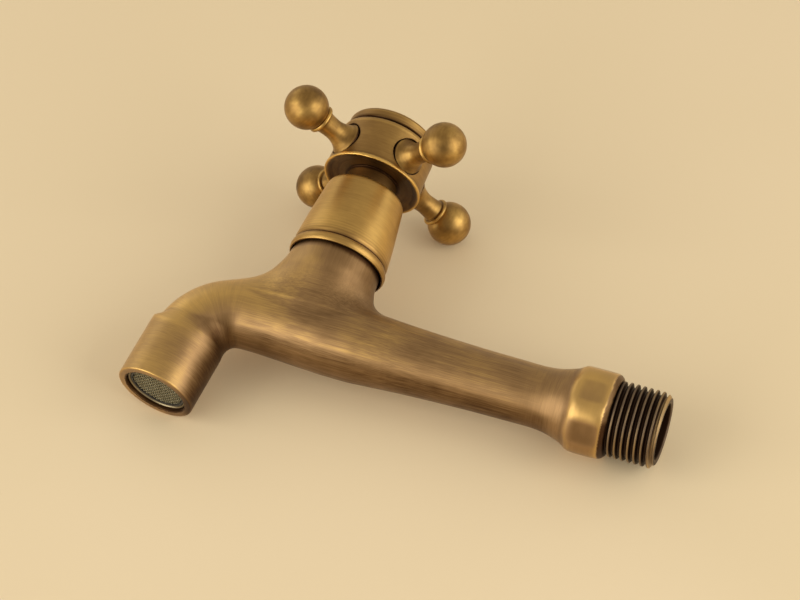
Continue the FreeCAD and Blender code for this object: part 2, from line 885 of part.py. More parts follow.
def make_spindle():
    """The spindle: a bar with a tongue that drives the disc, two ring grooves and a splined end."""
    body = new_body("spindle")
    flange_foot = FLANGE_TOP - S.foot_flange_thickness
    clip_foot = HOUSING_TOP + S.clip_lift
    clip_top = clip_foot + S.clip_thickness
    half = S.ring_groove_width / 2
    section = outline(
        body,
        "shaft_outline",
        "XZ_Plane",
        [
            (0, flange_foot),
            (S.foot_flange_radius, flange_foot),
            (S.foot_flange_radius, FLANGE_TOP),
            (S.spindle_radius, FLANGE_TOP),
            (S.spindle_radius, S.lower_ring_height - half),
            (S.ring_groove_radius, S.lower_ring_height - half),
            (S.ring_groove_radius, S.lower_ring_height + half),
            (S.spindle_radius, S.lower_ring_height + half),
            (S.spindle_radius, S.upper_ring_height - half),
            (S.ring_groove_radius, S.upper_ring_height - half),
            (S.ring_groove_radius, S.upper_ring_height + half),
            (S.spindle_radius, S.upper_ring_height + half),
            (S.spindle_radius, clip_foot),
            (S.clip_groove_radius, clip_foot),
            (S.clip_groove_radius, clip_top),
            (S.spindle_radius, clip_top),
            (S.spindle_radius, SPLINE_FOOT),
            (S.spline_radius, SPLINE_FOOT),
            (S.spline_radius, SPLINE_TOP),
            (0, SPLINE_TOP),
        ],
    )
    turn_solid(body, "shaft", section)
    for name, width, foot, top in (
        ("foot", S.foot_width, TURNING_DISC_TOP + S.disc_play, flange_foot),
        ("tongue", S.tongue_width, TURNING_DISC_TOP - S.tongue_depth, TURNING_DISC_TOP + S.disc_play),
    ):
        bar = outline(
            body,
            name + "_outline",
            "XY_Plane",
            [
                (-S.foot_half_length, -width / 2),
                (S.foot_half_length, -width / 2),
                (S.foot_half_length, width / 2),
                (-S.foot_half_length, width / 2),
            ],
            (0, 0, foot),
        )
        draw_solid(body, name, bar, top - foot)
    tapping = disc_sketch(body, "tapping_outline", "XY_Plane", (0, 0), S.screw_tap_radius, (0, 0, SPLINE_TOP))
    draw_solid(body, "tapping", tapping, S.screw_tap_depth, cut=True)
    cut_shaft_splines(body)
    return body


def cut_shaft_splines(body):
    """Fine V grooves around the spindle's end, which leave the teeth of its spline."""
    depth = S.spline_radius - S.spline_root_radius
    far, half = S.spline_radius + depth, depth * SPLINE_SLOPE * 2
    section = outline(
        body,
        "spline_outline",
        "XY_Plane",
        [(S.spline_root_radius, 0), (far, -half), (far, half)],
        (0, 0, SPLINE_FOOT),
    )
    length = SPLINE_TOP - SPLINE_FOOT
    groove = draw_solid(body, "spline_groove", section, length, cut=True, reverse=True)
    repeat(body, "splines", groove, S.spline_teeth)


def cut_socket_splines(body):
    """The hub's grooves: each takes one tooth of the spindle, with a little room all round it."""
    depth = S.spline_radius - S.spline_root_radius
    half_pitch = 180 / S.spline_teeth
    crest_half = S.spline_radius * tan(half_pitch) - depth * SPLINE_SLOPE + S.spline_clearance
    root_half = S.spline_root_radius * tan(half_pitch) + S.spline_clearance
    far = S.spline_radius + S.spline_clearance
    section = outline(
        body,
        "spline_outline",
        "XY_Plane",
        [(S.spline_root_radius, -root_half), (far, -crest_half), (far, crest_half), (S.spline_root_radius, root_half)],
        (0, 0, BOSS_FOOT),
        half_pitch - S.handle_turn,
    )
    groove = draw_solid(body, "spline_groove", section, SOCKET_TOP - BOSS_FOOT, cut=True, reverse=True)
    repeat(body, "splines", groove, S.spline_teeth)


def make_seal_ring(name, height):
    """A rubber ring on the spindle."""
    body = new_body(name)
    cord = disc_sketch(body, name + "_outline", "XZ_Plane", (S.ring_track_radius, height), S.ring_cord_radius)
    turn_solid(body, name + "_turned", cord)
    return body


def make_circlip():
    """The open spring clip that keeps the spindle in the housing."""
    body = new_body("circlip")
    foot = HOUSING_TOP + S.clip_lift
    section = outline(
        body,
        "clip_outline",
        "XZ_Plane",
        [
            (S.clip_inner_radius, foot),
            (S.clip_outer_radius, foot),
            (S.clip_outer_radius, foot + S.clip_thickness),
            (S.clip_inner_radius, foot + S.clip_thickness),
        ],
    )
    turn_solid(body, "clip", section, angle=S.clip_sweep)
    return body


# Cover and handle
def make_bonnet_cover():
    """The turned shroud: a bead at its foot, a slight taper and a mouth for the handle's boss."""
    body = new_body("bonnet_cover")
    bead_top = COVER_FOOT + S.cover_bead_height
    bead_edge = S.cover_bead_radius - S.cover_bead_round
    groove_top = bead_top + S.cover_groove_height
    thread_bore = S.cover_thread_radius + S.cover_clearance
    wide_bore_top = COVER_FOOT + S.cover_wide_bore_depth
    section = outline(
        body,
        "cover_outline",
        "XZ_Plane",
        [
            (S.cover_wide_bore_radius, COVER_FOOT),
            (bead_edge, COVER_FOOT),
            (S.cover_bead_radius, bead_top - S.cover_bead_height / 2, S.cover_bead_curve, 1),
            (bead_edge, bead_top, S.cover_bead_curve, 1),
            (S.cover_groove_radius, bead_top),
            (S.cover_groove_radius, groove_top),
            (S.cover_foot_radius, groove_top + S.cover_run_height),
            (S.cover_top_radius, COVER_TOP - S.cover_edge_height),
            (S.cover_rim_radius, COVER_TOP, S.cover_edge_curve, 1),
            (S.cover_mouth_radius, COVER_TOP),
            (S.cover_mouth_radius, COVER_TOP - S.cover_roof_thickness),
            (S.cover_upper_bore_radius, COVER_TOP - S.cover_roof_thickness),
            (S.cover_upper_bore_radius, COVER_THREAD_TOP),
            (thread_bore, COVER_THREAD_TOP),
            (thread_bore, BONNET_HEX_TOP + S.cover_hexagon_room),
            (S.cover_bore_radius, BONNET_HEX_TOP + S.cover_hexagon_room),
            (S.cover_bore_radius, wide_bore_top + S.cover_wide_bore_radius - S.cover_bore_radius),
            (S.cover_wide_bore_radius, wide_bore_top),
        ],
    )
    turn_solid(body, "cover", section)
    return body


def make_handle_hub():
    """The hub: a waisted drum with a shallow hollow below, a splined boss and four arm seats."""
    body = new_body("handle_hub", angle=S.handle_turn)
    socket = S.spline_root_radius + S.spline_clearance
    hollow_top = HUB_FOOT + S.hub_hollow_depth
    lip_top = HUB_FOOT + S.hub_lip_height
    section = outline(
        body,
        "hub_outline",
        "XZ_Plane",
        [
            (socket, BOSS_FOOT),
            (S.boss_radius, BOSS_FOOT),
            (S.boss_radius, hollow_top),
            (S.hub_hollow_radius, hollow_top),
            (S.hub_lip_radius - S.hub_lip_width, HUB_FOOT),
            (S.hub_lip_radius, HUB_FOOT),
            (S.hub_lip_radius, lip_top),
            (S.hub_waist_foot_radius, lip_top),
            (S.hub_shoulder_radius, HUB_TOP - S.hub_edge_height, S.hub_waist_curve, -1),
            (S.hub_top_radius, HUB_TOP, S.hub_edge_curve, 1),
            (S.cap_socket_radius, HUB_TOP),
            (S.cap_socket_radius, HUB_TOP - S.cap_socket_depth),
            (S.screw_well_radius, HUB_TOP - S.cap_socket_depth),
            (S.screw_well_radius, SCREW_SEAT),
            (S.screw_hole_radius, SCREW_SEAT),
            (S.screw_hole_radius, SOCKET_TOP),
            (socket, SOCKET_TOP),
        ],
    )
    turn_solid(body, "hub", section)
    cut_socket_splines(body)
    hole = S.spigot_radius + S.arm_clearance
    seat = S.flange_radius + S.arm_clearance
    bottom = S.spigot_reach - S.arm_clearance
    arm_seat = outline(
        body,
        "arm_seat_outline",
        "XZ_Plane",
        [
            (bottom, 0),
            (bottom, hole),
            (S.flange_seat, hole),
            (S.flange_seat, seat),
            (S.hub_lip_radius * 2, seat),
            (S.hub_lip_radius * 2, 0),
        ],
        (0, ARM_HEIGHT, 0),
    )
    cut = turn_solid(body, "arm_seat", arm_seat, "H_Axis", cut=True)
    repeat(body, "arm_seats", cut, 4)
    return body


def make_handle_arm(number):
    """One arm, turned in a piece: spigot, flange, waisted stem, bead and ball."""
    name = f"handle_arm_{number}"
    turn = S.handle_turn + 90 * number - 90
    body = new_body(name, (0, -S.valve_reach, ARM_HEIGHT), angle=turn)
    bead_top = S.bead_reach + S.bead_width
    section = outline(
        body,
        name + "_outline",
        "XZ_Plane",
        [
            (S.spigot_reach, 0),
            (S.spigot_reach, S.spigot_radius),
            (S.flange_seat, S.spigot_radius),
            (S.flange_seat, S.flange_radius),
            (S.flange_face, S.flange_radius),
            (S.stem_waist_reach, S.stem_waist_radius, S.stem_foot_curve, 1),
            (S.bead_reach, S.stem_neck_radius, S.stem_neck_curve, 1),
            (S.bead_reach, S.bead_radius),
            (bead_top, S.bead_radius, S.bead_width, -1),
            (bead_top, 0),
        ],
    )
    turn_solid(body, name + "_stem", section, "H_Axis")
    ball = body.newObject("PartDesign::AdditiveSphere", name + "_ball")
    attach(ball, body, "YZ_Plane", (0, 0, S.ball_reach), 0)
    ball.setExpression("Radius", S.ball_radius.text)
    return body


def make_handle_cap():
    """The domed cap in the top of the hub."""
    body = new_body("handle_cap")
    spigot_foot = HUB_TOP - S.cap_socket_depth + S.disc_play
    rim_top = HUB_TOP + S.cap_rim_height
    dome_curve = (S.cap_radius * S.cap_radius / S.cap_dome_height + S.cap_dome_height) / 2
    section = outline(
        body,
        "cap_outline",
        "XZ_Plane",
        [
            (0, spigot_foot + S.cap_hollow_height),
            (S.cap_hollow_radius, spigot_foot + S.cap_hollow_height),
            (S.cap_hollow_radius, spigot_foot),
            (S.cap_spigot_radius, spigot_foot),
            (S.cap_spigot_radius, HUB_TOP),
            (S.cap_radius - S.cap_bevel, HUB_TOP),
            (S.cap_radius, HUB_TOP + S.cap_bevel),
            (S.cap_radius, rim_top),
            (0, rim_top + S.cap_dome_height, dome_curve, 1),
        ],
    )
    turn_solid(body, "cap", section)
    return body


def make_handle_screw():
    """The screw that holds the hub to the spindle."""
    body = new_body("handle_screw")
    head_top = SCREW_SEAT + S.screw_head_height
    section = outline(
        body,
        "screw_outline",
        "XZ_Plane",
        [
            (0, SCREW_SEAT - S.screw_length),
            (S.screw_shank_radius, SCREW_SEAT - S.screw_length),
            (S.screw_shank_radius, SCREW_SEAT),
            (S.screw_head_radius, SCREW_SEAT),
            (S.screw_head_radius, head_top),
            (0, head_top),
        ],
    )
    turn_solid(body, "screw", section)
    key_foot = head_top - S.screw_key_depth
    hexagon(body, "screw_key", "XY_Plane", (0, 0, key_foot), 0, S.screw_key_size * 2, S.screw_key_depth, cut=True)
    return body


# Aerator
def aerator_piece(name):
    """A body in the spout's end, its own Z axis pointing up the spout from the end face."""
    return new_body(name, (0, SPOUT_END_Y, SPOUT_END_Z), (1, 0, 0), -S.spout_tilt)


def make_aerator_shell():
    """The threaded ring that carries the aerator."""
    body = aerator_piece("aerator_shell")
    top = S.aerator_recess + S.aerator_shell_height
    section = outline(
        body,
        "shell_outline",
        "XZ_Plane",
        [
            (S.aerator_shell_bore, S.aerator_recess),
            (S.aerator_shell_radius, S.aerator_recess),
            (S.aerator_shell_radius, top),
            (S.aerator_shell_lip_bore, top),
            (S.aerator_shell_lip_bore, top - S.aerator_shell_lip),
            (S.aerator_shell_bore, top - S.aerator_shell_lip),
        ],
    )
    turn_solid(body, "shell", section)
    return body


def make_aerator_insert():
    """The moulded insert: a perforated plate between two screen seats."""
    body = aerator_piece("aerator_insert")
    foot = S.insert_recess
    top = foot + S.insert_height
    plate_foot = foot + S.insert_plate_floor
    plate_top = plate_foot + S.insert_plate_thickness
    section = outline(
        body,
        "insert_outline",
        "XZ_Plane",
        [
            (S.screen_seat_radius, foot),
            (S.insert_radius, foot),
            (S.insert_radius, top),
            (S.insert_upper_radius, top),
            (S.insert_upper_radius, plate_top),
            (0, plate_top),
            (0, plate_foot),
            (S.insert_bore_radius, plate_foot),
            (S.insert_bore_radius, foot + S.screen_seat_depth),
            (S.screen_seat_radius, foot + S.screen_seat_depth),
        ],
    )
    turn_solid(body, "insert", section)
    jet = disc_sketch(body, "jet_outline", "XY_Plane", (S.jet_circle_radius, 0), S.jet_radius, (0, 0, plate_top))
    jets = draw_solid(body, "jet", jet, S.insert_plate_thickness, cut=True)
    repeat(body, "jets", jets, S.jet_count)
    return body


def make_screen(name, radius, foot):
    """A flat screen: a round sheet with rings of small holes around the one in its centre."""
    body = aerator_piece(name)
    sheet = disc_sketch(body, name + "_outline", "XY_Plane", (0, 0), radius, (0, 0, foot))
    draw_solid(body, name + "_sheet", sheet, S.screen_thickness)
    top = foot + S.screen_thickness
    for number in range(SCREEN_RINGS + 1):
        spot = (S.screen_pitch * number, 0)
        outline_name = f"{name}_hole_outline_{number}"
        hole = disc_sketch(body, outline_name, "XY_Plane", spot, S.screen_hole_radius, (0, 0, top))
        cut = draw_solid(body, f"{name}_hole_{number}", hole, S.screen_thickness, cut=True)
        if number > 0:
            repeat(body, f"{name}_holes_{number}", cut, number * 6)
    return body


def make_aerator_washer():
    """The rubber washer between the aerator and the step in the collar."""
    body = aerator_piece("aerator_washer")
    foot = S.aerator_recess + S.aerator_shell_height
    section = outline(
        body,
        "washer_outline",
        "XZ_Plane",
        [
            (S.washer_bore, foot),
            (S.aerator_shell_radius, foot),
            (S.aerator_shell_radius, foot + S.washer_height),
            (S.washer_bore, foot + S.washer_height),
        ],
    )
    turn_solid(body, "washer", section)
    return body


def make_pieces():
    """Every piece of the tap, in the order in which it is put together."""
    insert_plate_top = S.insert_recess + S.insert_plate_floor + S.insert_plate_thickness
    lower_screen_foot = S.insert_recess + S.screen_seat_depth - S.screen_thickness
    pieces = [
        make_tap_body(),
        ring("seat_seal", S.seal_inner_radius, DISC_RADIUS, S.seat_height, SEAL_TOP),
        make_fixed_disc(),
        make_rotating_disc(),
        make_spindle(),
        make_seal_ring("spindle_seal_lower", S.lower_ring_height),
        make_seal_ring("spindle_seal_upper", S.upper_ring_height),
        ring("friction_washer", S.washer_inner_radius, DISC_RADIUS, FLANGE_TOP, FLANGE_TOP + S.washer_thickness),
        make_cartridge_housing(),
        make_circlip(),
        ring("bonnet_gasket", S.gasket_inner_radius, S.gasket_outer_radius, S.neck_top, BONNET_HEX_FOOT),
        make_bonnet_cover(),
        make_handle_hub(),
        *[make_handle_arm(number) for number in range(1, 5)],
        make_handle_screw(),
        make_handle_cap(),
        make_aerator_washer(),
        make_screen("aerator_screen_upper", S.insert_upper_radius - S.screen_clearance, insert_plate_top),
        make_aerator_insert(),
        make_screen("aerator_screen_lower", S.screen_seat_radius - S.screen_clearance, lower_screen_foot),
        make_aerator_shell(),
    ]
    DOC.recompute()
    return pieces


def check_and_write(pieces):
    """Stops on any failed feature or bad shape, then writes one file for each piece."""
    for thing in DOC.Objects:
        if any(word in ("Invalid", "Error") for word in thing.State):
            raise RuntimeError(f"{thing.Name} failed: {thing.State}")
    for piece in pieces:
        if piece.Shape.isNull() or not piece.Shape.isValid() or len(piece.Shape.Solids) != 1:
            raise RuntimeError(f"{piece.Label} isn't one sound solid")
    os.makedirs("parts", exist_ok=True)
    for piece in pieces:
        piece.Shape.exportStep(f"parts/{piece.Label}.step")
        print(f"{piece.Label}: {piece.Shape.Volume:.1f} mm3")


check_and_write(make_pieces())
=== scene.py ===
"""A wall-mounted tap in aged brass, lying on its side on a pale floor.

Lengths in this file are millimetres in the model's own frame and become metres in each mesh:
+Y runs along the inlet into the wall, +Z up the valve, and X = 0 halves the body.
"""

import math

import bpy
import numpy as np
from mathutils import Matrix, Vector


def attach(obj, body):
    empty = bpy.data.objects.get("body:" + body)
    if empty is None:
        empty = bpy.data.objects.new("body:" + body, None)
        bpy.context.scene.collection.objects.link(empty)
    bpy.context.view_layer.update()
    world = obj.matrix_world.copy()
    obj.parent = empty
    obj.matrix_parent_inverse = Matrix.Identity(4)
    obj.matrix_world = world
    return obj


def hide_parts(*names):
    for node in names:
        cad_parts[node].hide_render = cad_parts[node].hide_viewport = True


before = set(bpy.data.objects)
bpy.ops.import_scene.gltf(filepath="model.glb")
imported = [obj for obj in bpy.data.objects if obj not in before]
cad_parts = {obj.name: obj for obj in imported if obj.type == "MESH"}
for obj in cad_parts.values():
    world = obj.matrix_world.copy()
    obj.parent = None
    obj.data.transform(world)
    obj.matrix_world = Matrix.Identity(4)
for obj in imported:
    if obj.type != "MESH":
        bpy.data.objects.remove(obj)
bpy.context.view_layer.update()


# Camera and resting floor.
# The tap lies on one ball, the side of its hexagon and the rim of its spout, and is seen from
# above its right side, so the floor and the camera are tilted and the tap keeps its own frame.
MM = 0.001
CAMERA_SPOT = Vector((634.22, 106.03, -326.45)) * MM
CAMERA_RIGHT = Vector((-0.07215, 0.93758, 0.34021))
CAMERA_UP = Vector((0.51414, -0.25733, 0.81820))
CAMERA_BACK = Vector((0.85467, 0.23394, -0.46348))
FLOOR_UP = Vector((0.9785, -0.0368, 0.2030)).normalized()
FLOOR_OFFSET = -12.69 * MM

camera_data = bpy.data.cameras.new("camera")
camera_data.sensor_width = 36.0
camera_data.lens = 120.42
camera_data.clip_start = 0.01
camera = bpy.data.objects.new("camera", camera_data)
camera.matrix_world = Matrix.Translation(CAMERA_SPOT) @ Matrix(
    (CAMERA_RIGHT, CAMERA_UP, CAMERA_BACK)
).transposed().to_4x4()
bpy.context.scene.collection.objects.link(camera)
bpy.context.scene.camera = camera


# Cast body.
# One brass casting: a long arm swells at the valve, bends down into the spout and ends in a
# straight collar. It is linished along the arm and across the spout, then darkened and rubbed,
# and light and shade are painted into its colour as well.
VALVE_REACH = 88.5
ELBOW_START = 105.9
ELBOW_RADIUS = 14.1
SPOUT_TILT = math.radians(5.85)
ELBOW_SWEEP = math.pi / 2 - SPOUT_TILT
ELBOW_END = ELBOW_START + ELBOW_RADIUS * ELBOW_SWEEP
SPOUT_DROP = 18.0
COLLAR_START = ELBOW_END - 1.3
SPOUT_END = ELBOW_END + SPOUT_DROP
END_PIECE_START = COLLAR_START - 2.5
COLLAR_RADIUS = 11.2
AERATOR_BORE = 9.0
AERATOR_BORE_DEPTH = 10.1
WATERWAY_RADIUS = 6.0
WATERWAY_DEPTH = 40.0
NECK_FOOT = -3.0
NECK_TOP = 24.6
CHAMBER_RADIUS = 10.4
CHAMBER_FLOOR = 18.0
HEX_LENGTH = 13.0
HEX_HALF_FLATS = 11.8
HEX_CORNER = 3.2
EDGE_REACH = 0.8


def flowing(stations, softness=3.0, spacing=0.1):
    """A smooth radius along a length, through stations of (place, radius)."""
    places, radii = zip(*stations)
    fine = np.arange(places[0] - softness, places[-1] + softness, spacing)
    weights = np.hanning(2 * int(softness / spacing) + 1)
    rough = np.interp(fine, places, radii)
    padded = np.pad(rough, len(weights) // 2, mode="edge")
    smooth = np.convolve(padded, weights / weights.sum(), mode="valid")
    return lambda place: np.interp(place, fine, smooth)


arm_radius = flowing([
    (0.0, 9.0), (7.0, 10.4), (10.3, 11.1), (12.0, 10.6), (14.5, 9.7), (17.5, 8.85),
    (21.5, 8.5), (28.5, 8.6), (38.5, 8.7), (48.5, 9.0), (56.0, 9.3), (61.5, 9.6),
    (67.5, 10.0), (74.0, 10.4), (82.0, 10.35), (90.0, 10.0), (96.0, 9.7),
    (101.0, 9.5), (112.0, 9.5), (119.0, 9.55), (125.0, 9.65), (150.0, 9.65),
])
neck_radius = flowing([
    (-6.0, 6.6), (-3.0, 7.3), (0.0, 8.1), (4.0, 9.1),
    (8.0, 10.4), (12.0, 11.8), (16.0, 12.7), (26.0, 12.9),
], softness=2.0)
hexagon_crown = flowing([
    (-15.0, 6.6), (-12.4, 9.2), (-11.3, 10.7), (-10.3, 11.9), (-9.2, 12.8),
    (-7.6, 13.45), (-5.8, 13.75), (-4.0, 13.6), (-2.6, 13.2), (-1.5, 12.6),
    (-1.1, 12.2), (0.0, 10.7), (2.0, 8.0),
], softness=0.35)


def ramped(value, start, end):
    """0 at the start and before it, 1 at the end and past it. The end may be the lower."""
    return np.clip((value - start) / (end - start), 0, 1)


def eased(share):
    """A share from 0 to 1 with a soft start and a soft end."""
    return share * share * (3 - 2 * share)


def soft_union(first, second, blend):
    """Two solids joined with a hollow blend of the given size."""
    share = np.clip(0.5 + 0.5 * (second - first) / blend, 0, 1)
    return second + (first - second) * share - blend * share * (1 - share)


def soft_overlap(first, second, blend):
    """What two solids have in common, its edges rounded to the given size."""
    return -soft_union(-first, -second, blend)


def along_spout(x, y, z):
    """How far along the inlet and spout a point lies, and how far out from the path in its plane."""
    forward, rise = -(y + ELBOW_START), z + ELBOW_RADIUS
    angle = np.arctan2(forward, rise)
    sine, cosine = math.sin(ELBOW_SWEEP), math.cos(ELBOW_SWEEP)
    past_forward, past_rise = forward - ELBOW_RADIUS * sine, rise - ELBOW_RADIUS * cosine
    past = past_forward * cosine - past_rise * sine
    past_out = past_forward * sine + past_rise * cosine
    on_arm = forward < 0
    on_bend = ~on_arm & (angle < ELBOW_SWEEP) & (angle >= 0)
    bend_out = np.hypot(forward, rise) - ELBOW_RADIUS
    distance = np.where(on_bend, ELBOW_START + ELBOW_RADIUS * angle, ELBOW_END + past)
    outward = np.where(on_bend, bend_out, past_out)
    return np.where(on_arm, -y, distance), np.where(on_arm, z, outward)


def tube_radius(distance, outward, sideways):
    """The radius along the arm and spout. Sideways is 1 at the sides, 0 in the bend's plane.

    The collar stands proud outside the bend, and runs in flush at its sides and inside it.
    """
    inner = (outward < 0) * (1 - sideways)
    run = 0.2 + 6.0 * np.where(outward > 0, sideways**1.4, 1.0) + 17.0 * inner
    step = eased(np.clip((distance - COLLAR_START + 8.5 * inner) / run + 0.5, 0, 1))
    tube = arm_radius(distance)
    return tube + (COLLAR_RADIUS - tube) * step


def neck_fillet(x, y, z, off_axis, around):
    """The width of the fillet between neck and arm.

    It is wide where the two meet squarely, fore and aft, and runs out where they are flush.
    """
    front = eased(ramped(-(y + VALVE_REACH), -9, 9))
    square = 1 - x**2 / (np.maximum(off_axis, 1.0) * np.maximum(around, 1.0))
    return 0.3 + (4.7 + (6.5 + 7.0 * front) * np.clip(square, 0, 1)) * ramped(z, -2, 4)


def hexagon_form(x, y, z):
    """Signed distance to the hexagon, its corners rounded and its ends crowned."""
    turns = (0, math.pi / 3, -math.pi / 3)
    flats = [np.abs(x * math.cos(turn) + z * math.sin(turn)) - HEX_HALF_FLATS for turn in turns]
    prism = soft_overlap(soft_overlap(flats[0], flats[1], HEX_CORNER), flats[2], HEX_CORNER)
    crowned = soft_overlap(prism, np.hypot(x, z) - hexagon_crown(y), blend=1.3)
    return np.maximum(crowned, -HEX_LENGTH - y)


def cast_form(x, y, z):
    """Signed distance to the cast and machined body, negative inside."""
    distance, outward = along_spout(x, y, z)
    around = np.hypot(x, outward)
    off_axis = np.hypot(x, y + VALVE_REACH)
    body = around - tube_radius(distance, outward, x**2 / (around**2 + 0.01))
    neck = soft_overlap(off_axis - neck_radius(z), z - NECK_TOP, blend=0.4)
    neck = np.maximum(neck, NECK_FOOT - z)
    body = soft_union(body, neck, neck_fillet(x, y, z, off_axis, around))
    body = soft_union(body, hexagon_form(x, y, z), blend=1.6)
    body = np.maximum(body, y)
    waterway = np.maximum(np.hypot(x, z) - WATERWAY_RADIUS, -WATERWAY_DEPTH - y)
    body = np.maximum(body, -waterway)
    body = soft_overlap(body, distance - SPOUT_END, blend=0.45)
    outlet = np.maximum(around - AERATOR_BORE, SPOUT_END - AERATOR_BORE_DEPTH - distance)
    body = soft_overlap(body, -outlet, blend=0.25)
    chamber = np.maximum(off_axis - CHAMBER_RADIUS, CHAMBER_FLOOR - z)
    return np.maximum(body, -chamber)


def upper_form(x, y, z):
    """The body down to just inside the finely meshed end, a hair thinner where the two overlap."""
    past = along_spout(x, y, z)[0] - END_PIECE_START
    return np.maximum(cast_form(x, y, z) + 0.02 * ramped(past, -0.5, 0), past - 1.5)


def end_form(x, y, z):
    """The last of the spout, which is meshed more finely."""
    return np.maximum(cast_form(x, y, z), END_PIECE_START - along_spout(x, y, z)[0])


def skin(name, field, low, high, cell):
    """A mesh on the zero level of a field: one point in each cell that the skin crosses."""
    axes = [np.arange(a, b + cell, cell) for a, b in zip(low, high)]
    grid = np.meshgrid(*axes, indexing="ij")
    values = field(*grid)
    inside = values < 0
    cells = tuple(size - 1 for size in values.shape)
    total, count = np.zeros((3,) + cells), np.zeros(cells)

    def corner(offset):
        return tuple(slice(shift, size + shift) for shift, size in zip(offset, cells))

    # each cell's point is the mean of the places where the skin crosses the cell's edges
    for axis in range(3):
        others = [a for a in range(3) if a != axis]
        for first in (0, 1):
            for second in (0, 1):
                near = [0, 0, 0]
                near[others[0]], near[others[1]] = first, second
                far = list(near)
                far[axis] = 1
                near, far = corner(near), corner(far)
                crossed = inside[near] != inside[far]
                gap = np.where(crossed, values[far] - values[near], 1.0)
                share = np.where(crossed, -values[near] / gap, 0.0)
                for a in range(3):
                    place = grid[a][near] + (cell * share if a == axis else 0)
                    total[a] += np.where(crossed, place, 0)
                count += crossed
    kept = count > 0
    index = np.full(count.shape, -1)
    index[kept] = np.arange(kept.sum())
    points = np.stack([total[a][kept] / count[kept] for a in range(3)], axis=1)

    # each crossed edge of the grid gives one face, between the points of its four cells
    faces = []
    for axis in range(3):
        one, two = [a for a in range(3) if a != axis]
        low_slice, high_slice = [slice(1, -1)] * 3, [slice(1, -1)] * 3
        low_slice[axis], high_slice[axis] = slice(0, -1), slice(1, None)
        starts, ends = inside[tuple(low_slice)], inside[tuple(high_slice)]
        spots = np.argwhere(starts != ends)
        spots[:, one] += 1
        spots[:, two] += 1
        turn = starts[starts != ends]
        if axis == 1:
            turn = ~turn
        corners = []
        for first, second in ((0, 0), (1, 0), (1, 1), (0, 1)):
            beside = spots.copy()
            beside[:, one] -= first
            beside[:, two] -= second
            corners.append(index[tuple(beside.T)])
        quads = np.stack(corners, axis=1)
        quads[~turn] = quads[~turn][:, ::-1]
        faces.append(quads)

    # the points then settle on the skin itself
    for _ in range(5):
        off, slope = slopes(field, points)
        points -= np.clip(off, -cell, cell)[:, None] * slope
    slope = slopes(field, points)[1]
    return finished_mesh(name, points, np.concatenate(faces), slope), points


def slopes(field, points, reach=0.03):
    """How far each point lies off the skin of a field, and the way out of it."""
    level = field(*points.T)
    slope = np.zeros_like(points)
    for axis in range(3):
        step = np.zeros(3)
        step[axis] = reach
        slope[:, axis] = (field(*(points + step).T) - field(*(points - step).T)) / (2 * reach)
    steepness = np.maximum(np.linalg.norm(slope, axis=1), 0.05)
    return level / steepness, slope / steepness[:, None]


def bending(field, points, reach):
    """How sharply the skin turns at each point: above 0 on edges, below 0 in hollows."""
    spread = -6 * field(*points.T)
    for axis in range(3):
        step = np.zeros(3)
        step[axis] = reach
        spread += field(*(points + step).T) + field(*(points - step).T)
    return spread / reach**2


def finished_mesh(name, points, faces, normals=None):
    """A smooth-shaded object from points in millimetres."""
    mesh = bpy.data.meshes.new(name)
    mesh.from_pydata((points * MM).tolist(), [], np.asarray(faces).tolist())
    mesh.polygons.foreach_set("use_smooth", np.ones(len(mesh.polygons), dtype=bool))
    if normals is not None:
        mesh.normals_split_custom_set_from_vertices(normals.tolist())
    mesh.update()
    piece = bpy.data.objects.new(name, mesh)
    bpy.context.scene.collection.objects.link(piece)
    return piece


def note(piece, name, values):
    """Stores one number or one triple for each point of a mesh."""
    values = np.asarray(values, dtype=np.float32)
    kind = "FLOAT" if values.ndim == 1 else "FLOAT_VECTOR"
    field_name = "value" if values.ndim == 1 else "vector"
    layer = piece.data.attributes.new(name, kind, "POINT")
    layer.data.foreach_set(field_name, values.ravel())


class Socket:
    """One output of a shader node. Arithmetic on it adds Math nodes."""

    def __init__(self, finish, socket):
        self.finish = finish
        self.socket = socket

    def _maths(self, operation, first, second):
        return self.finish.add("ShaderNodeMath", {"operation": operation}, {0: first, 1: second})

    def __add__(self, other):
        return self._maths("ADD", self, other)

    def __sub__(self, other):
        return self._maths("SUBTRACT", self, other)

    def __mul__(self, other):
        return self._maths("MULTIPLY", self, other)

    __radd__ = __add__
    __rmul__ = __mul__

    def __rsub__(self, other):
        return self._maths("SUBTRACT", other, self)


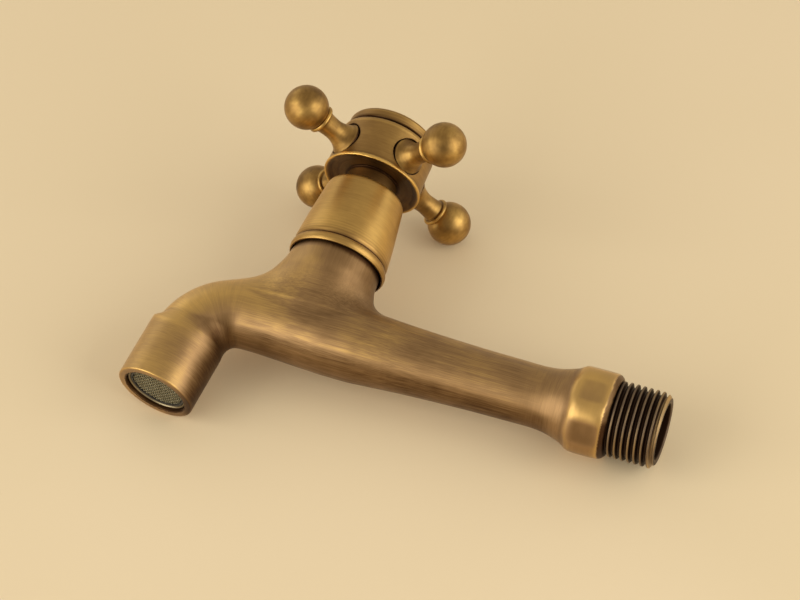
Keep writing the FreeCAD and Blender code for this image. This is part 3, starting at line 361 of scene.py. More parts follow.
class Finish:
    """A material under construction: its nodes and its surface shader."""

    def __init__(self, name):
        self.material = bpy.data.materials.new(name)
        self.material.use_nodes = True
        self.tree = self.material.node_tree
        self.surface = self.tree.nodes["Principled BSDF"]

    def add(self, kind, settings=None, inputs=None, output=0):
        """Adds a node: first its settings, a ramp's stops among them, then its sockets."""
        node = self.tree.nodes.new(kind)
        for key, value in (settings or {}).items():
            if key != "stops":
                setattr(node, key, value)
                continue
            band = node.color_ramp.elements
            while len(band) < len(value):
                band.new(0.5)
            for element, (place, tint) in zip(band, value):
                element.position = place
                element.color = tint
        self.feed(node, inputs or {})
        return Socket(self, node.outputs[output])

    def feed(self, node, inputs):
        """Sets or links sockets of a node."""
        for key, value in inputs.items():
            if isinstance(value, Socket):
                self.tree.links.new(value.socket, node.inputs[key])
            else:
                node.inputs[key].default_value = value

    def stretched(self, place, scale, shift=(0, 0, 0)):
        """A place scaled by a different amount along each axis."""
        return self.add("ShaderNodeMapping", {}, {"Vector": place, "Scale": scale, "Location": shift})

    def noise(self, place, scale, detail=3.0, roughness=0.5):
        """Soft noise from 0 to 1."""
        inputs = {"Vector": place, "Scale": scale, "Detail": detail, "Roughness": roughness}
        return self.add("ShaderNodeTexNoise", {}, inputs, "Fac")

    def spread(self, value, low, high, start=0.0, end=1.0):
        """A value spread from low..high to start..end, held at both ends."""
        inputs = {"Value": value, "From Min": low, "From Max": high, "To Min": start, "To Max": end}
        return self.add("ShaderNodeMapRange", {"clamp": True}, inputs)

    def ramp(self, value, stops):
        """A colour that runs through stops of (place, colour)."""
        return self.add("ShaderNodeValToRGB", {"stops": stops}, {"Fac": value}, "Color")


def colour(red, green, blue):
    """A colour written as it looks on the screen, from 0 to 255, for a shader socket."""
    shares = [level / 255 for level in (red, green, blue)]
    linear = [((c + 0.055) / 1.055) ** 2.4 if c > 0.04 else c / 12.92 for c in shares]
    return (*linear, 1.0)


def aged_brass(name, dark, mid, bright, rough=(0.5, 0.34), streaks=1.0, wax=0.18, mottle=(60.0, 0.6)):
    """Brass under a brown patina, rubbed back where hands and the brush reach it.

    Rough is for dark and bright metal, wax the gloss on the bright, and mottle the fineness and
    strength of the clouds. The shade attribute lightens or darkens the metal, with its wear and
    patina and with painted light and shade.
    """
    finish = Finish(name)
    place = finish.add("ShaderNodeTexCoord", output="Object")
    grain = finish.add("ShaderNodeAttribute", {"attribute_name": "grain"}, output="Vector")
    brush = finish.add("ShaderNodeAttribute", {"attribute_name": "brush"}, output="Vector")
    shade = finish.add("ShaderNodeAttribute", {"attribute_name": "shade"}, output="Fac")
    weights = [finish.add("ShaderNodeSeparateXYZ", {}, {0: brush}, axis) for axis in "XYZ"]
    ways = [(grain, (1.3, 0.03, 1.3)), (grain, (0.08, 1.5, 0.08)), (place, (1300, 1300, 35))]
    broad, fine = 0, 0
    for weight, (where, scale) in zip(weights, ways):
        stretched = finish.stretched(where, scale)
        broad = (finish.noise(stretched, 0.8, 3.0, 0.6) - 0.5) * weight + broad
        fine = (finish.noise(stretched, 3.2, 3.0, 0.65) - 0.5) * weight + fine
    fineness, strength = mottle
    cloud = finish.noise(place, fineness, 3.0, 0.55)
    wear = broad * (0.5 * streaks) + fine * (0.6 * streaks) + (cloud - 0.5) * strength
    # the shade attribute brings wear and patina, and painted light and shade, into the ramp
    wear = finish.spread(wear + shade * 0.6 + 0.5, 0.0, 1.0)
    scratches = finish.add("ShaderNodeBump", {}, {"Strength": 0.35, "Distance": 0.00004, "Height": fine})
    finish.feed(finish.surface, {
        "Base Color": finish.ramp(wear, [(0.0, dark), (0.5, mid), (1.0, bright)]),
        "Metallic": 1.0,
        "Coat Weight": finish.spread(wear, 0.1, 0.5, 0.1, wax),
        "Coat Roughness": 0.4,
        "Roughness": finish.spread(wear + fine * 0.5, 0.0, 1.0, *rough),
        "Normal": scratches,
    })
    return finish.material


# the dark patina colour also paints shade, and the bright rubbed colour also paints highlights
brass_patina_and_shade = colour(68, 43, 22)
brass_rubbed_and_highlight = colour(224, 182, 102)
cast_mid = colour(150, 116, 73)
cast_brass = aged_brass(
    "cast_brass", brass_patina_and_shade, cast_mid, brass_rubbed_and_highlight, rough=(0.52, 0.38), streaks=0.75, wax=0.55
)


def dress(piece, material, body, slot, *nodes):
    """Gives a piece its material and body, and hides the nodes it replaces."""
    piece.data.materials.append(material)
    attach(piece, body)
    if nodes:
        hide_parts(*nodes)


def cast_piece(name, form, low, high, cell):
    """Part of the body, with its brushing, its wear and its painted light and shade."""
    piece, points = skin(name, form, low, high, cell)
    side, height = points[:, 0], points[:, 2]
    along, outward = along_spout(*points.T)
    around = np.hypot(side, outward)
    downward = -outward / np.maximum(around, 1)

    # where the brush ran: along the arm, round the spout and hexagon, up the neck
    on_neck = ramped(height, 8.5, 15.5) * (np.abs(along - VALVE_REACH) < 22)
    on_hexagon = ramped(along, HEX_LENGTH, HEX_LENGTH - 2.5) * (around > 10)
    across = (ramped(along, 103, 112) + ramped(along, 27, 18)) * (1 - on_neck)
    brush = np.stack([1 - on_neck - across, 0.55 * across, 0.38 * on_neck], axis=1)

    # where it is brighter: rubbed edges, the hexagon's ridge, rubbed and with a painted highlight,
    # and painted light over the back of the bend
    on_bevel = ramped(along, 1.3, 1.0) * (around > 7)
    # patina and painted shade inside the bend, which also keeps the edges there from brightening
    dark_from = 4.2 + 3.3 * ramped(along, COLLAR_START - 3, COLLAR_START + 3)
    patina_and_shade_in_elbow = ramped(along, 106, 112) * ramped(-outward, dark_from, dark_from + 4)
    edges = bending(cast_form, points, EDGE_REACH) * (1 - on_bevel) * (1 - patina_and_shade_in_elbow)
    edges = edges * (0.9 + 0.3 * on_hexagon - 0.75 * (along > SPOUT_END - 1))
    ridge_wear_and_highlight = on_hexagon * ramped(around, 12.1, 13.2)
    painted_light_over_elbow = ramped(along, 88, 108) * ramped(outward, -5, 1)
    painted_light_over_elbow = painted_light_over_elbow * (1 - 0.5 * ramped(along, COLLAR_START, COLLAR_START + 3))
    # rubbed wear together with painted light
    bright = edges + 0.2 * on_hexagon + 0.4 * ridge_wear_and_highlight + 0.6 * painted_light_over_elbow

    # where it is darker: a duller tone off the hexagon and on the neck, patina on the bevel,
    # patina and painted shade inside the bend and in the bores, and painted shade on the hexagon's
    # lower face, beneath the arm, on the neck towards the wall, under the cover and on the end face
    shaded_lower_face = on_hexagon**2 * ramped(downward, 0.55, 0.7)
    shaded_wall_side = on_neck * ramped(along, VALVE_REACH, VALVE_REACH - 6)
    lower_edge = 0.78 - 0.12 * ramped(along, 40, 80)
    shaded_beneath = ramped(downward, lower_edge, lower_edge + 0.12)
    shaded_beneath = shaded_beneath * ramped(along, 13, 18) * ramped(along, 108, 96)
    shadow_under_cover = ramped(height, 20.5, 22.1)
    shaded_end_face = ramped(along, SPOUT_END - 0.12, SPOUT_END - 0.02)
    patina_and_shade_in_bore = ((around < AERATOR_BORE + 0.35) & (along > 100)) | (around < WATERWAY_RADIUS + 1.5)
    # dull and dark add tone and patina together with painted shade
    dull = 0.06 * (1 - on_hexagon) + 0.12 * on_neck + 0.28 * shaded_wall_side + 0.5 * shaded_lower_face + 0.45 * shaded_beneath
    dark = 0.6 * patina_and_shade_in_elbow + 0.7 * on_bevel + 0.8 * shadow_under_cover + 0.3 * shaded_end_face + 1.2 * patina_and_shade_in_bore

    note(piece, "grain", np.stack([side, along, outward], axis=1))
    note(piece, "brush", brush * (1 - 0.8 * on_hexagon)[:, None])
    note(piece, "shade", np.clip(bright - dull - dark, -1, 0.62 - 0.12 * on_hexagon))
    dress(piece, cast_brass, "tap", "tap_body", "tap_body")


cast_piece("casting", upper_form, low=(-13.9, -134.6, -16.4), high=(13.9, 0.6, 25.3), cell=0.5)
cast_piece("collar", end_form, low=(-11.8, -134.6, -32.4), high=(11.8, -106.4, -3.6), cell=0.26)


# Thread and inlet bore.
# The pipe thread is cut on the end of the casting, with a relief at the shoulder, a chamfered
# tip and a plain bore. Brown patina and painted shade darken its grooves, its crests are rubbed
# bright, the chamfered tip is rubbed and given a painted highlight, and the bore holds patina
# and painted shade.
THREAD_LENGTH = 13.8
THREAD_PITCH = 1.814
THREAD_CREST = 10.4775
THREAD_DEPTH = 1.162
THREAD_START = 0.3
RUN_IN_SLOPE = 1.2
SHOULDER_FILLET = 1.3
TIP_CHAMFER = 1.2
RELIEF_RADIUS = 9.25
INLET_MOUTH = 7.8
INLET_MOUTH_DEPTH = 12.0


def rounded(corners, step=0.2):
    """A turned profile through corners of (radius, height, rounding), with a point every step."""
    points = []
    last = len(corners) - 1
    for number, (radius, height, *rounding) in enumerate(corners):
        corner = np.array([radius, height])
        if not rounding or number in (0, last):
            points.append(corner)
            continue
        before = np.array(corners[number - 1][:2]) - corner
        after = np.array(corners[number + 1][:2]) - corner
        reach = [min(rounding[0], 0.48 * np.linalg.norm(way)) for way in (before, after)]
        start = corner + before / np.linalg.norm(before) * reach[0]
        end = corner + after / np.linalg.norm(after) * reach[1]
        for share in np.linspace(0, 1, 7):
            points.append((1 - share) ** 2 * start + 2 * share * (1 - share) * corner + share**2 * end)
    profile = [points[0]]
    for start, end in zip(points, points[1:]):
        count = max(1, int(np.ceil(np.linalg.norm(end - start) / step)))
        for share in np.linspace(0, 1, count + 1)[1:]:
            profile.append(start + (end - start) * share)
    return np.array(profile)


def arc(start, end, bulge, count=12):
    """Corners along an arc between two ends, standing off their chord by the bulge."""
    start, end = np.array(start), np.array(end)
    way = end - start
    out = np.array([way[1], -way[0]]) / np.linalg.norm(way)
    corners = []
    for share in np.linspace(0, 1, count + 1):
        corners.append(tuple(start + way * share + out * bulge * 4 * share * (1 - share)))
    return corners


def profile_shade(profile, reach=0.6, spacing=0.05):
    """How far a profile stands out from its smoothed self, and the length along it.

    Edges are above 0 and hollows below.
    """
    lengths = np.concatenate([[0], np.cumsum(np.linalg.norm(np.diff(profile, axis=0), axis=1))])
    even = np.arange(0, lengths[-1], spacing)
    half = int(reach / spacing)
    weights = np.hanning(2 * half + 1)
    smooth = []
    for column in profile.T:
        line = np.interp(even, lengths, column)
        before = 2 * line[0] - line[half:0:-1]
        after = 2 * line[-1] - line[-2:-half - 2:-1]
        line = np.concatenate([before, line, after])
        line = np.convolve(line, weights / weights.sum(), mode="same")
        smooth.append(line[half:half + len(even)])
    smooth = np.stack([np.interp(lengths, even, column) for column in smooth], axis=1)
    way = np.gradient(smooth, axis=0)
    out = np.stack([way[:, 1], -way[:, 0]], axis=1)
    out /= np.maximum(np.linalg.norm(out, axis=1), 1e-9)[:, None]
    full_edge = 0.16 * reach
    return np.sum((profile - smooth) * out, axis=1) / full_edge, lengths


def placed(points, place):
    """Points in millimetres turned and moved by a matrix."""
    return points @ np.array(place.to_3x3()).T + np.array(place.translation) / MM


def turned(name, corners, place, wear_and_painted_shade=None, segments=160, step=0.2):
    """A turned piece: its profile swept round its own Z axis and put in its place.

    The wear function gives how much brighter, or darker below 0, the metal is at a radius and a
    height, from wear, patina and painted shade.
    """
    profile = rounded(corners, step)
    shade, lengths = profile_shade(profile)
    if wear_and_painted_shade:
        shade = shade + wear_and_painted_shade(*profile.T)
    angles = np.linspace(0, 2 * math.pi, segments, endpoint=False)
    # a hair off the axis, where the faces would lose their width
    radius = np.maximum(profile[:, 0], 0.004)
    points = np.stack([
        np.outer(radius, np.cos(angles)),
        np.outer(radius, np.sin(angles)),
        np.repeat(profile[:, 1:2], segments, axis=1),
    ], axis=2).reshape(-1, 3)
    faces = []
    for row in range(len(profile) - 1):
        for turn in range(segments):
            after = (turn + 1) % segments
            low, high = row * segments, (row + 1) * segments
            faces.append((low + turn, low + after, high + after, high + turn))
    grain = np.stack([points[:, 0], np.repeat(lengths, segments), points[:, 1]], axis=1)
    piece = finished_mesh(name, placed(points, place), faces)
    note(piece, "grain", grain)
    note(piece, "brush", np.tile((0.0, 1.0, 0.0), (len(points), 1)))
    note(piece, "shade", np.clip(np.repeat(shade, segments), -1, 1))
    return piece


def thread_radius(phase, length):
    """The thread's radius at a share of its pitch, with its run-in and its chamfered tip."""
    flank = np.abs((phase % 1.0) - 0.5) * 2
    tooth = THREAD_CREST - THREAD_DEPTH * eased(ramped(flank, 0.16, 0.84))
    run_in = RELIEF_RADIUS + RUN_IN_SLOPE * np.maximum(length - THREAD_START, 0)
    run_in = run_in + SHOULDER_FILLET * ramped(length, SHOULDER_FILLET, 0)
    tip = THREAD_CREST - TIP_CHAMFER + THREAD_LENGTH - length
    return np.minimum(np.minimum(tooth, run_in), tip)


def thread():
    """The threaded outside of the inlet, its rows of points following the helix."""
    segments, rows = 180, 24
    turns = int(THREAD_LENGTH / THREAD_PITCH) + 2
    angles = np.arange(segments + 1) / segments
    angle, row = np.meshgrid(angles, np.arange(-rows, turns * rows + 1), indexing="ij")
    length = np.clip(THREAD_PITCH * (row / rows + angle), 0.0, THREAD_LENGTH)
    radius = thread_radius(length / THREAD_PITCH - angle, length)
    theta = -2 * math.pi * angle
    points = np.stack([radius * np.cos(theta), length, radius * np.sin(theta)], axis=2)
    index = np.arange(length.size).reshape(length.shape)
    faces = np.stack([index[:-1, :-1], index[1:, :-1], index[1:, 1:], index[:-1, 1:]], axis=2)
    faces = faces.reshape(-1, 4)
    points, radius, lengths = points.reshape(-1, 3), radius.ravel(), length.ravel()
    has_width = np.ptp(lengths[faces], axis=1) > 1e-6
    piece = finished_mesh("inlet_thread", points, faces[has_width])
    # the chamfered tip is rubbed brass with a painted highlight, and the grooves hold patina with painted
    # shade
    tip = ramped(lengths, THREAD_LENGTH - 1.5, THREAD_LENGTH - 1.2)
    tip = tip * (radius > THREAD_CREST - TIP_CHAMFER - 0.05)
    crest_wear_and_groove_shade = np.clip((radius - THREAD_CREST + 0.1) * 8.0, -1, 0.1)
    note(piece, "grain", np.stack([points[:, 0], lengths, points[:, 2]], axis=1))
    note(piece, "brush", np.tile((0.0, 1.0, 0.0), (len(points), 1)))
    note(piece, "shade", np.clip(crest_wear_and_groove_shade + 1.3 * tip, -1, 0.6))
    return piece


# groove colour for patina and painted shade, crest colour for rubbing and painted highlights
groove_patina_and_shade, flank_brown, crest_rubbed_and_highlight = colour(50, 32, 20), colour(108, 90, 72), colour(206, 170, 108)
thread_brass = aged_brass(
    "thread_brass", groove_patina_and_shade, flank_brown, crest_rubbed_and_highlight, rough=(0.6, 0.42), streaks=0.4
)
dress(thread(), thread_brass, "tap", "tap_body")
TO_INLET = Matrix.Rotation(math.radians(-90), 4, "X")
inlet_end = turned("inlet_end", [
    (THREAD_CREST - TIP_CHAMFER, THREAD_LENGTH),
    (INLET_MOUTH + 0.3, THREAD_LENGTH, 0.2),
    (INLET_MOUTH, THREAD_LENGTH - 0.4, 0.2),
    (INLET_MOUTH, THREAD_LENGTH - INLET_MOUTH_DEPTH),
    (WATERWAY_RADIUS, THREAD_LENGTH - INLET_MOUTH_DEPTH),
    (WATERWAY_RADIUS, 0.0),
# the end face a darker brown, and the bore darkest with patina and painted shade
], TO_INLET, lambda radius, height: np.where(radius < INLET_MOUTH + 0.1, -1.4, -0.6))
dress(inlet_end, thread_brass, "tap", "tap_body")


# Bonnet cover.
# A turned brass shroud screwed over the cartridge: a rubbed bead at its foot, a groove above
# it and a slight taper up to a rounded rim.
TO_VALVE = Matrix.Translation(Vector((0, -VALVE_REACH, 0)) * MM)
COVER_FOOT = 22.2
BEAD_TOP = 24.8
GROOVE_TOP = 25.4
COVER_TOP = 46.9
turned_mid = colour(152, 117, 65)
turned_brass = aged_brass(
    "turned_brass", brass_patina_and_shade, turned_mid, brass_rubbed_and_highlight, rough=(0.48, 0.38), streaks=0.32
)


def cover_wear_and_shade(radius, height):
    """A rubbed bright bead, painted shade in the groove, on the inner faces, under the foot and round
    the mouth, a darker band over the groove, faint turning rings over the groove and a brighter
    body above it.
    """
    outside = radius > 11.0
    above_groove = height > GROOVE_TOP - 0.1
    bead = 0.12 * (outside & (height > COVER_FOOT + 0.1) & (height < BEAD_TOP))
    # painted shade in the groove
    groove = -0.6 * (outside & (height > BEAD_TOP) & (height < GROOVE_TOP - 0.1))
    over_groove = -0.45 * ramped(height, 27.6, 26.0) * above_groove
    rings = 0.13 * np.cos(height * 7.0) * ramped(height, 30.5, 27.5) * (height > GROOVE_TOP)
    # painted shade on the inner faces, under the foot and round the mouth
    inside = (radius < 9.0) | ((radius < 13.6) & (height < 23)) | (height < COVER_FOOT + 0.06)
    return bead + groove + (rings + over_groove) * outside + 0.38 * (height > GROOVE_TOP) - 1.2 * inside


cover = turned("bonnet_shroud", [
    (13.45, BEAD_TOP),
    (13.45, COVER_FOOT, 0.1),
    (13.7, COVER_FOOT, 0.1),
    *arc((13.8, COVER_FOOT + 0.05), (13.8, BEAD_TOP - 0.05), 0.4),
    (13.45, BEAD_TOP + 0.05, 0.15),
    (13.45, GROOVE_TOP - 0.1, 0.15),
    (13.8, 26.4, 0.6),
    (13.2, 32.8, 2.0),
    (12.35, 39.2, 2.0),
    (11.55, 45.5, 0.9),
    (11.1, 46.6, 0.9),
    (10.1, COVER_TOP, 0.6),
    (8.6, COVER_TOP, 0.2),
    (8.6, 44.6),
], TO_VALVE, cover_wear_and_shade)
dress(cover, turned_brass, "tap", "bonnet_cover", "bonnet_cover")


# Handle hub.
# A waisted drum, dished below round its splined boss, with a rubbed lip at its foot and four
# round seats that the arms screw into. Painted shade darkens the seams round them and the gap
# under the cap, and patina with painted shade darkens the dish below.
SEAT_RADIUS = 5.14
SEAT_FLOOR = 12.6
ARM_HEIGHT = 57.6
HUB_TOP = 65.25
HUB_ROUNDING = 0.12
HANDLE_TURN = math.radians(46.4)
hub_profile = np.array([
    (4.4, 44.3), (7.35, 44.3), (7.35, 52.4), (10.5, 52.35), (12.6, 52.0), (13.7, 51.5),
    (14.1, 51.25), (14.3, 51.35), (14.3, 52.0), (14.05, 52.3), (13.88, 55.0), (13.76, 58.0),
    (13.78, 61.0), (13.88, 64.0), (13.5, 64.9), (12.6, HUB_TOP), (4.4, HUB_TOP),
])


def polygon_distance(radius, height, corners):
    """Signed distance to a closed profile, negative inside."""
    nearest = np.full(radius.shape, 1e9)
    crossings = np.zeros(radius.shape, dtype=bool)
    for start, end in zip(corners, np.roll(corners, -1, axis=0)):
        way = end - start
        from_r, from_z = radius - start[0], height - start[1]
        share = np.clip((from_r * way[0] + from_z * way[1]) / (way @ way), 0, 1)
        nearest = np.minimum(nearest, (from_r - way[0] * share) ** 2 + (from_z - way[1] * share) ** 2)
        between = (start[1] > height) != (end[1] > height)
        rise = way[1] if way[1] else 1.0
        crossings ^= between & (from_r < way[0] * from_z / rise)
    return np.where(crossings, -1, 1) * np.sqrt(nearest)


def arm_ways(x, y):
    """For each line of arms: how far a point lies along it, and how far off it."""
    y = y + VALVE_REACH
    along_one = x * math.cos(HANDLE_TURN) + y * math.sin(HANDLE_TURN)
    along_two = y * math.cos(HANDLE_TURN) - x * math.sin(HANDLE_TURN)
    return (along_one, along_two), (along_two, along_one)


def hub_field(x, y, z):
    """Signed distance to the hub: its turned profile less the four arm seats."""
    body = polygon_distance(np.hypot(x, y + VALVE_REACH), z, hub_profile) - HUB_ROUNDING
    for one, two in arm_ways(x, y):
        off = np.hypot(two, z - ARM_HEIGHT)
        seat = soft_overlap(off - SEAT_RADIUS, SEAT_FLOOR - np.abs(one), blend=0.2)
        body = soft_overlap(body, -seat, blend=0.25)
    return body


hub, hub_points = skin("hub", hub_field, low=(-14.8, -103.3, 44.0), high=(14.8, -73.7, 65.8), cell=0.32)
across, rise = hub_points[:, 1] + VALVE_REACH, hub_points[:, 2]
radial = np.hypot(hub_points[:, 0], across)
seam, near_seat = np.zeros(len(hub_points)), np.zeros(len(hub_points))
# seam: painted shade round each arm seat; near_seat keeps the edges there from brightening
for one, two in arm_ways(hub_points[:, 0], hub_points[:, 1]):
    off = np.hypot(two, rise - ARM_HEIGHT)
    on_side = np.abs(one) > 11.5
    seam = np.maximum(seam, on_side * ramped(off, SEAT_RADIUS + 0.3, SEAT_RADIUS + 0.1))
    near_seat = np.maximum(near_seat, on_side * ramped(off, SEAT_RADIUS + 1.6, SEAT_RADIUS + 0.8))
edges = bending(hub_field, hub_points, EDGE_REACH) * (1 - near_seat)
# patina with painted shade under the dish, and painted shade in the gap under the cap
under = ramped(radial, 14.0, 13.7) * (rise < 53)
lip = (radial > 14.22) * ramped(rise, 52.2, 51.9)
shade_under_cap = ramped(rise, HUB_TOP - 0.55, HUB_TOP - 0.25)
hub_shade = 0.5 * edges + 0.05 * lip - 0.55 * under - 1.3 * seam - 1.1 * shade_under_cap
note(hub, "grain", np.stack([hub_points[:, 0], rise + 0.7 * radial, across], axis=1))
note(hub, "brush", np.tile((0.0, 1.0, 0.0), (len(hub_points), 1)))
note(hub, "shade", np.clip(hub_shade, -1, 1))
dress(hub, turned_brass, "handle", "handle_hub", "handle_hub")


# Handle arms.
# Each arm is turned in one piece, a flared foot, a waisted stem, a thin bead and a ball, and
# screws into its seat. The ball is the most handled part and is rubbed smooth.
BALL_REACH = 29.0
BALL_RADIUS = 6.34
BALL_SWEEP = 2.56
rubbed_mid = colour(153, 118, 62)
rubbed_brass = aged_brass(
    "rubbed_brass", brass_patina_and_shade, rubbed_mid, brass_rubbed_and_highlight,
    rough=(0.47, 0.37), streaks=0.3, mottle=(170.0, 1.2),
)


def arm_wear_and_seam_shade(radius, height):
    """Painted shade in the seam round its foot, and a little dull on the bead and the ball."""
    foot = ramped(height, 13.75, 13.45)
    bead = (height > 22.9) & (height < 23.9) & (radius > 4.0)
    return -1.4 * foot - 0.05 * bead - 0.02 * (height > 24)


ball = []
for angle in np.linspace(BALL_SWEEP, 0.0, 40)[:-1]:
    ball.append((BALL_RADIUS * math.sin(angle), BALL_REACH + BALL_RADIUS * math.cos(angle)))
arm_corners = [
    (4.6, 12.9),
    (5.0, 13.0, 0.15),
    (5.0, 13.6, 0.1),
    (4.4, 14.2, 0.5),
    (3.6, 15.5, 1.0),
    (2.98, 17.6, 1.6),
    (2.97, 19.4, 1.6),
    (3.15, 21.4, 1.0),
    (3.4, 22.6, 0.25),
    (4.15, 22.75, 0.25),
    (4.4, 23.3, 0.4),
    (4.05, 23.95, 0.3),
    *ball,
    (0.0, BALL_REACH + BALL_RADIUS),
]
for number in range(4):
    turn = Matrix.Rotation(HANDLE_TURN + math.radians(90 * number), 4, "Z")
    out = turn @ Matrix.Rotation(math.radians(90), 4, "Y")
    spot = Matrix.Translation(Vector((0, -VALVE_REACH, ARM_HEIGHT)) * MM) @ out
    arm = turned(f"arm_{number + 1}", arm_corners, spot, arm_wear_and_seam_shade, segments=120, step=0.25)
    dress(arm, rubbed_brass, "handle", "handle_arm", f"handle_arm_{number + 1}")


# Handle cap.
# A shallow domed cap with a bevelled rim, pressed into the top of the hub over its screw.
CAP_FOOT = 65.4
CAP_RADIUS = 12.85
dome = [(12.6 * math.cos(a), CAP_FOOT + 3.2 + 2.55 * math.sin(a)) for a in np.linspace(0.0, 1.5, 24)]


def cap_seam_shade(radius, height):
    """Painted shade in the seam between the cap and the hub, fading up its lower side."""
    return -1.1 * ramped(height, CAP_FOOT + 1.7, CAP_FOOT + 0.6)


cap = turned("cap", [
    (9.0, CAP_FOOT - 0.8),
    (9.0, CAP_FOOT, 0.1),
    (11.95, CAP_FOOT, 0.2),
    (CAP_RADIUS, CAP_FOOT + 0.9, 0.4),
    (CAP_RADIUS, CAP_FOOT + 3.0, 0.5),
    *dome,
    (0.0, CAP_FOOT + 5.8),
], TO_VALVE, cap_seam_shade)
dress(cap, turned_brass, "handle", "handle_cap", "handle_cap")


# Aerator.
# A threaded ring, browned like the rest, holds two steel screens round a moulded insert. It is
# screwed into the end of the spout and set back in it, and only its lower screen shows.
forward = ELBOW_START + ELBOW_RADIUS * math.sin(ELBOW_SWEEP) + SPOUT_DROP * math.cos(ELBOW_SWEEP)
drop = ELBOW_RADIUS * (1 - math.cos(ELBOW_SWEEP)) + SPOUT_DROP * math.sin(ELBOW_SWEEP)
spout_mouth = Vector((0, -forward, -drop)) * MM
TO_SPOUT_END = Matrix.Translation(spout_mouth) @ Matrix.Rotation(-SPOUT_TILT, 4, "X")
ring_dark, ring_mid, ring_bright = colour(46, 38, 28), colour(104, 90, 66), colour(164, 150, 120)
ring_finish = aged_brass("aerator_ring", ring_dark, ring_mid, ring_bright)
ring = turned("aerator_ring", [
    (8.15, 7.4),
    (8.15, 1.35, 0.1),
    (8.35, 1.0, 0.1),
    (8.8, 1.0, 0.1),
    (8.95, 1.2, 0.1),
    (8.95, 8.6),
    (6.5, 8.6),
    (6.5, 7.8),
    (8.15, 7.8),
], TO_SPOUT_END)
dress(ring, ring_finish, "tap", "aerator_shell", "aerator_shell")


def woven_screen(name, radius, height, pitch=0.72, wire=0.13, step=0.12, sides=6):
    """A round of plain-woven wire: each wire waves over and under the ones it crosses."""
    points, faces = [], []
    round_wire = np.linspace(0, 2 * math.pi, sides, endpoint=False)
    last = int(radius / pitch)
    for way in (0, 1):
        for number in range(-last, last + 1):
            off = number * pitch
            half = math.sqrt(max(radius**2 - off**2, 0.01))
            run = np.arange(-half, half, step)
            if len(run) < 4:
                continue
            wave = wire * 0.95 * np.cos(math.pi * (run / pitch + number + way))
            first = len(points)
            for spot, rise in zip(run, wave):
                for angle in round_wire:
                    out, up = off + wire * math.cos(angle), height + rise + wire * math.sin(angle)
                    points.append((spot, out, up) if way == 0 else (out, spot, up))
            for row in range(len(run) - 1):
                for side in range(sides):
                    low, after = first + row * sides + side, first + row * sides + (side + 1) % sides
                    quad = (low, low + sides, after + sides, after)
                    faces.append(quad if way == 1 else quad[::-1])
    return finished_mesh(name, placed(np.array(points), TO_SPOUT_END), faces)


wire_dark, wire_light = colour(124, 116, 92), colour(158, 150, 124)
screen_finish = Finish("screen_wire")
screen_place = screen_finish.add("ShaderNodeTexCoord", output="Object")
screen_cloud = screen_finish.noise(screen_place, 1600.0, 2.0, 0.5)
screen_finish.feed(screen_finish.surface, {
    "Base Color": screen_finish.ramp(screen_cloud, [(0.3, wire_dark), (0.7, wire_light)]),
    "Metallic": 1.0,
    "Roughness": screen_finish.spread(screen_cloud, 0.3, 0.7, 0.55, 0.45),
})
lower_screen = woven_screen("screen_mesh_lower", 7.4, 1.75)
dress(lower_screen, screen_finish.material, "tap", "screen_steel", "aerator_screen_lower")


# Hidden pieces.
# The cartridge, its seals, discs, washer, clip and screw, and the aerator's inner pieces, keep
# the shapes they were built with and take a plain finish each.
def plain_finish(name, dark, light, metallic, rough):
    """A simple finish: a mottled colour with a matching roughness and a faint grain."""
    finish = Finish(name)
    place = finish.add("ShaderNodeTexCoord", output="Object")
    cloud = finish.noise(place, 600.0, 4.0, 0.6)
    grain = finish.add("ShaderNodeBump", {}, {"Strength": 0.3, "Distance": 0.00003, "Height": cloud})
    finish.feed(finish.surface, {
        "Base Color": finish.ramp(cloud, [(0.3, colour(*dark)), (0.7, colour(*light))]),
        "Metallic": metallic,
        "Roughness": finish.spread(cloud, 0.3, 0.7, *rough),
        "Normal": grain,
    })
    return finish.material


hidden_pieces = [
    ("bar_brass", (150, 116, 60), (186, 150, 88), 1.0, (0.42, 0.34), ["spindle", "cartridge_housing"]),
    ("ceramic", (214, 212, 206), (232, 230, 224), 0.0, (0.3, 0.22), ["fixed_disc", "rotating_disc"]),
    ("black_rubber", (24, 24, 25), (38, 38, 40), 0.0, (0.75, 0.6),
        ["seat_seal", "spindle_seal_lower", "spindle_seal_upper", "aerator_washer"]),
    ("red_fibre", (120, 52, 40), (148, 70, 52), 0.0, (0.9, 0.8), ["bonnet_gasket"]),
    ("white_polymer", (214, 213, 208), (228, 227, 222), 0.0, (0.5, 0.4), ["friction_washer"]),
    ("spring_steel", (92, 92, 94), (126, 126, 128), 1.0, (0.45, 0.35), ["circlip"]),
    ("screw_steel", (150, 150, 150), (182, 182, 180), 1.0, (0.4, 0.3), ["handle_screw"]),
    ("grey_plastic", (44, 41, 36), (60, 56, 50), 0.0, (0.6, 0.5), ["aerator_insert"]),
    ("sheet_steel", (140, 139, 134), (176, 175, 170), 1.0, (0.45, 0.35), ["aerator_screen_upper"]),
]
for name, dark, light, metallic, rough, nodes in hidden_pieces:
    material = plain_finish(name, dark, light, metallic, rough)
    for node in nodes:
        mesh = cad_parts[node].data
        mesh.materials.clear()
        mesh.materials.append(material)


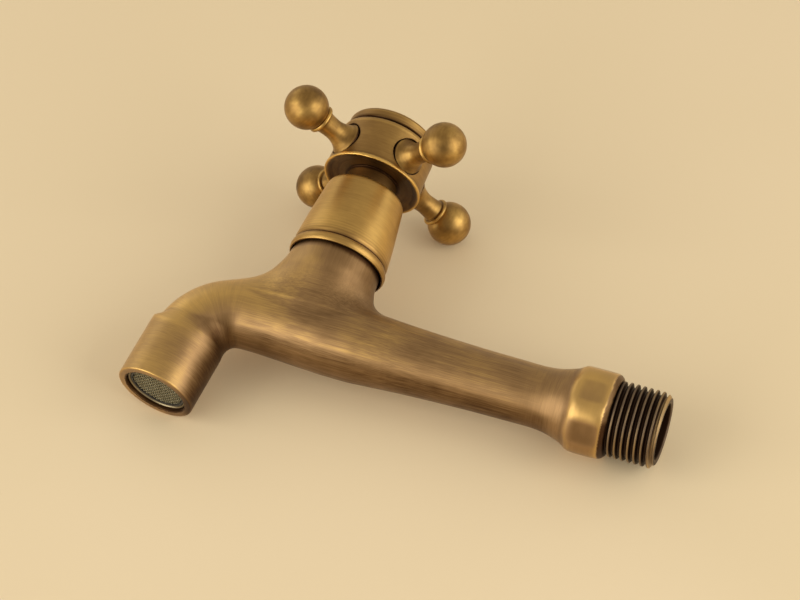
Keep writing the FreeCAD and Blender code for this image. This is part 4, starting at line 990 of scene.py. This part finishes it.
# Floor.
# A plain pale floor under the resting tap. It is clear from below, so that the tap shows from
# there too.
FLOOR_SIZE = 2.4
floor_right = (CAMERA_RIGHT - FLOOR_UP * CAMERA_RIGHT.dot(FLOOR_UP)).normalized()
floor_near = floor_right.cross(FLOOR_UP).normalized()
mid_tap = Vector((0, -60, 20)) * MM
floor_centre = mid_tap + FLOOR_UP * (FLOOR_OFFSET - mid_tap.dot(FLOOR_UP))
floor_points = []
for right, near in ((-1, 1), (1, 1), (1, -1), (-1, -1)):
    corner = floor_centre + (floor_right * right + floor_near * near) * FLOOR_SIZE / 2
    floor_points.append(tuple(corner / MM))
floor = finished_mesh("floor", np.array(floor_points), [(0, 1, 2, 3)])
floor_dark, floor_light = colour(227, 207, 171), colour(231, 211, 177)
floor_finish = Finish("pale_floor")
floor_place = floor_finish.add("ShaderNodeTexCoord", output="Object")
floor_cloud = floor_finish.noise(floor_place, 5.0, 2.0, 0.5)
floor_finish.feed(floor_finish.surface, {
    "Base Color": floor_finish.ramp(floor_cloud, [(0.35, floor_dark), (0.65, floor_light)]),
    "Roughness": 0.55,
})
from_below = floor_finish.add("ShaderNodeNewGeometry", output="Backfacing")
clear = floor_finish.add("ShaderNodeBsdfTransparent")
solid = Socket(floor_finish, floor_finish.surface.outputs[0])
seen = floor_finish.add("ShaderNodeMixShader", {}, {0: from_below, 1: solid, 2: clear})
floor_finish.feed(floor_finish.tree.nodes["Material Output"], {"Surface": seen})
floor.data.materials.append(floor_finish.material)


# Light.
# Four soft boxes stand low round the tap, two nearer the camera and two behind, in an evenly lit
# pale room.
BOX_TINT = (1.0, 0.99, 0.92)


def soft_box(name, turn, rise, size, power):
    """A soft light a metre off, at a turn from the viewer's side and a rise over the floor."""
    turn, rise = math.radians(turn), math.radians(rise)
    level = floor_near * math.cos(turn) + floor_right * math.sin(turn)
    spot = floor_centre + level * math.cos(rise) + FLOOR_UP * math.sin(rise)
    data = bpy.data.lights.new(name, "AREA")
    data.shape = "RECTANGLE"
    data.size, data.size_y = size
    data.energy = power
    data.color = BOX_TINT
    light = bpy.data.objects.new(name, data)
    light.location = spot
    light.rotation_mode = "QUATERNION"
    light.rotation_quaternion = (spot - floor_centre).to_track_quat("Z", "Y")
    bpy.context.scene.collection.objects.link(light)


soft_box("box_right", 62, 26, size=(0.9, 0.85), power=6.2)
soft_box("box_left", -64, 20, size=(0.9, 1.1), power=7.6)
soft_box("box_back_right", 110, 22, size=(0.5, 0.6), power=0.8)
soft_box("box_back_left", -138, 22, size=(0.6, 0.6), power=0.6)

world = bpy.data.worlds.new("room")
world.use_nodes = True
bpy.context.scene.world = world
background = world.node_tree.nodes["Background"]
background.inputs["Color"].default_value = colour(238, 227, 208)
background.inputs["Strength"].default_value = 0.65
bpy.context.scene.view_settings.view_transform = "Standard"
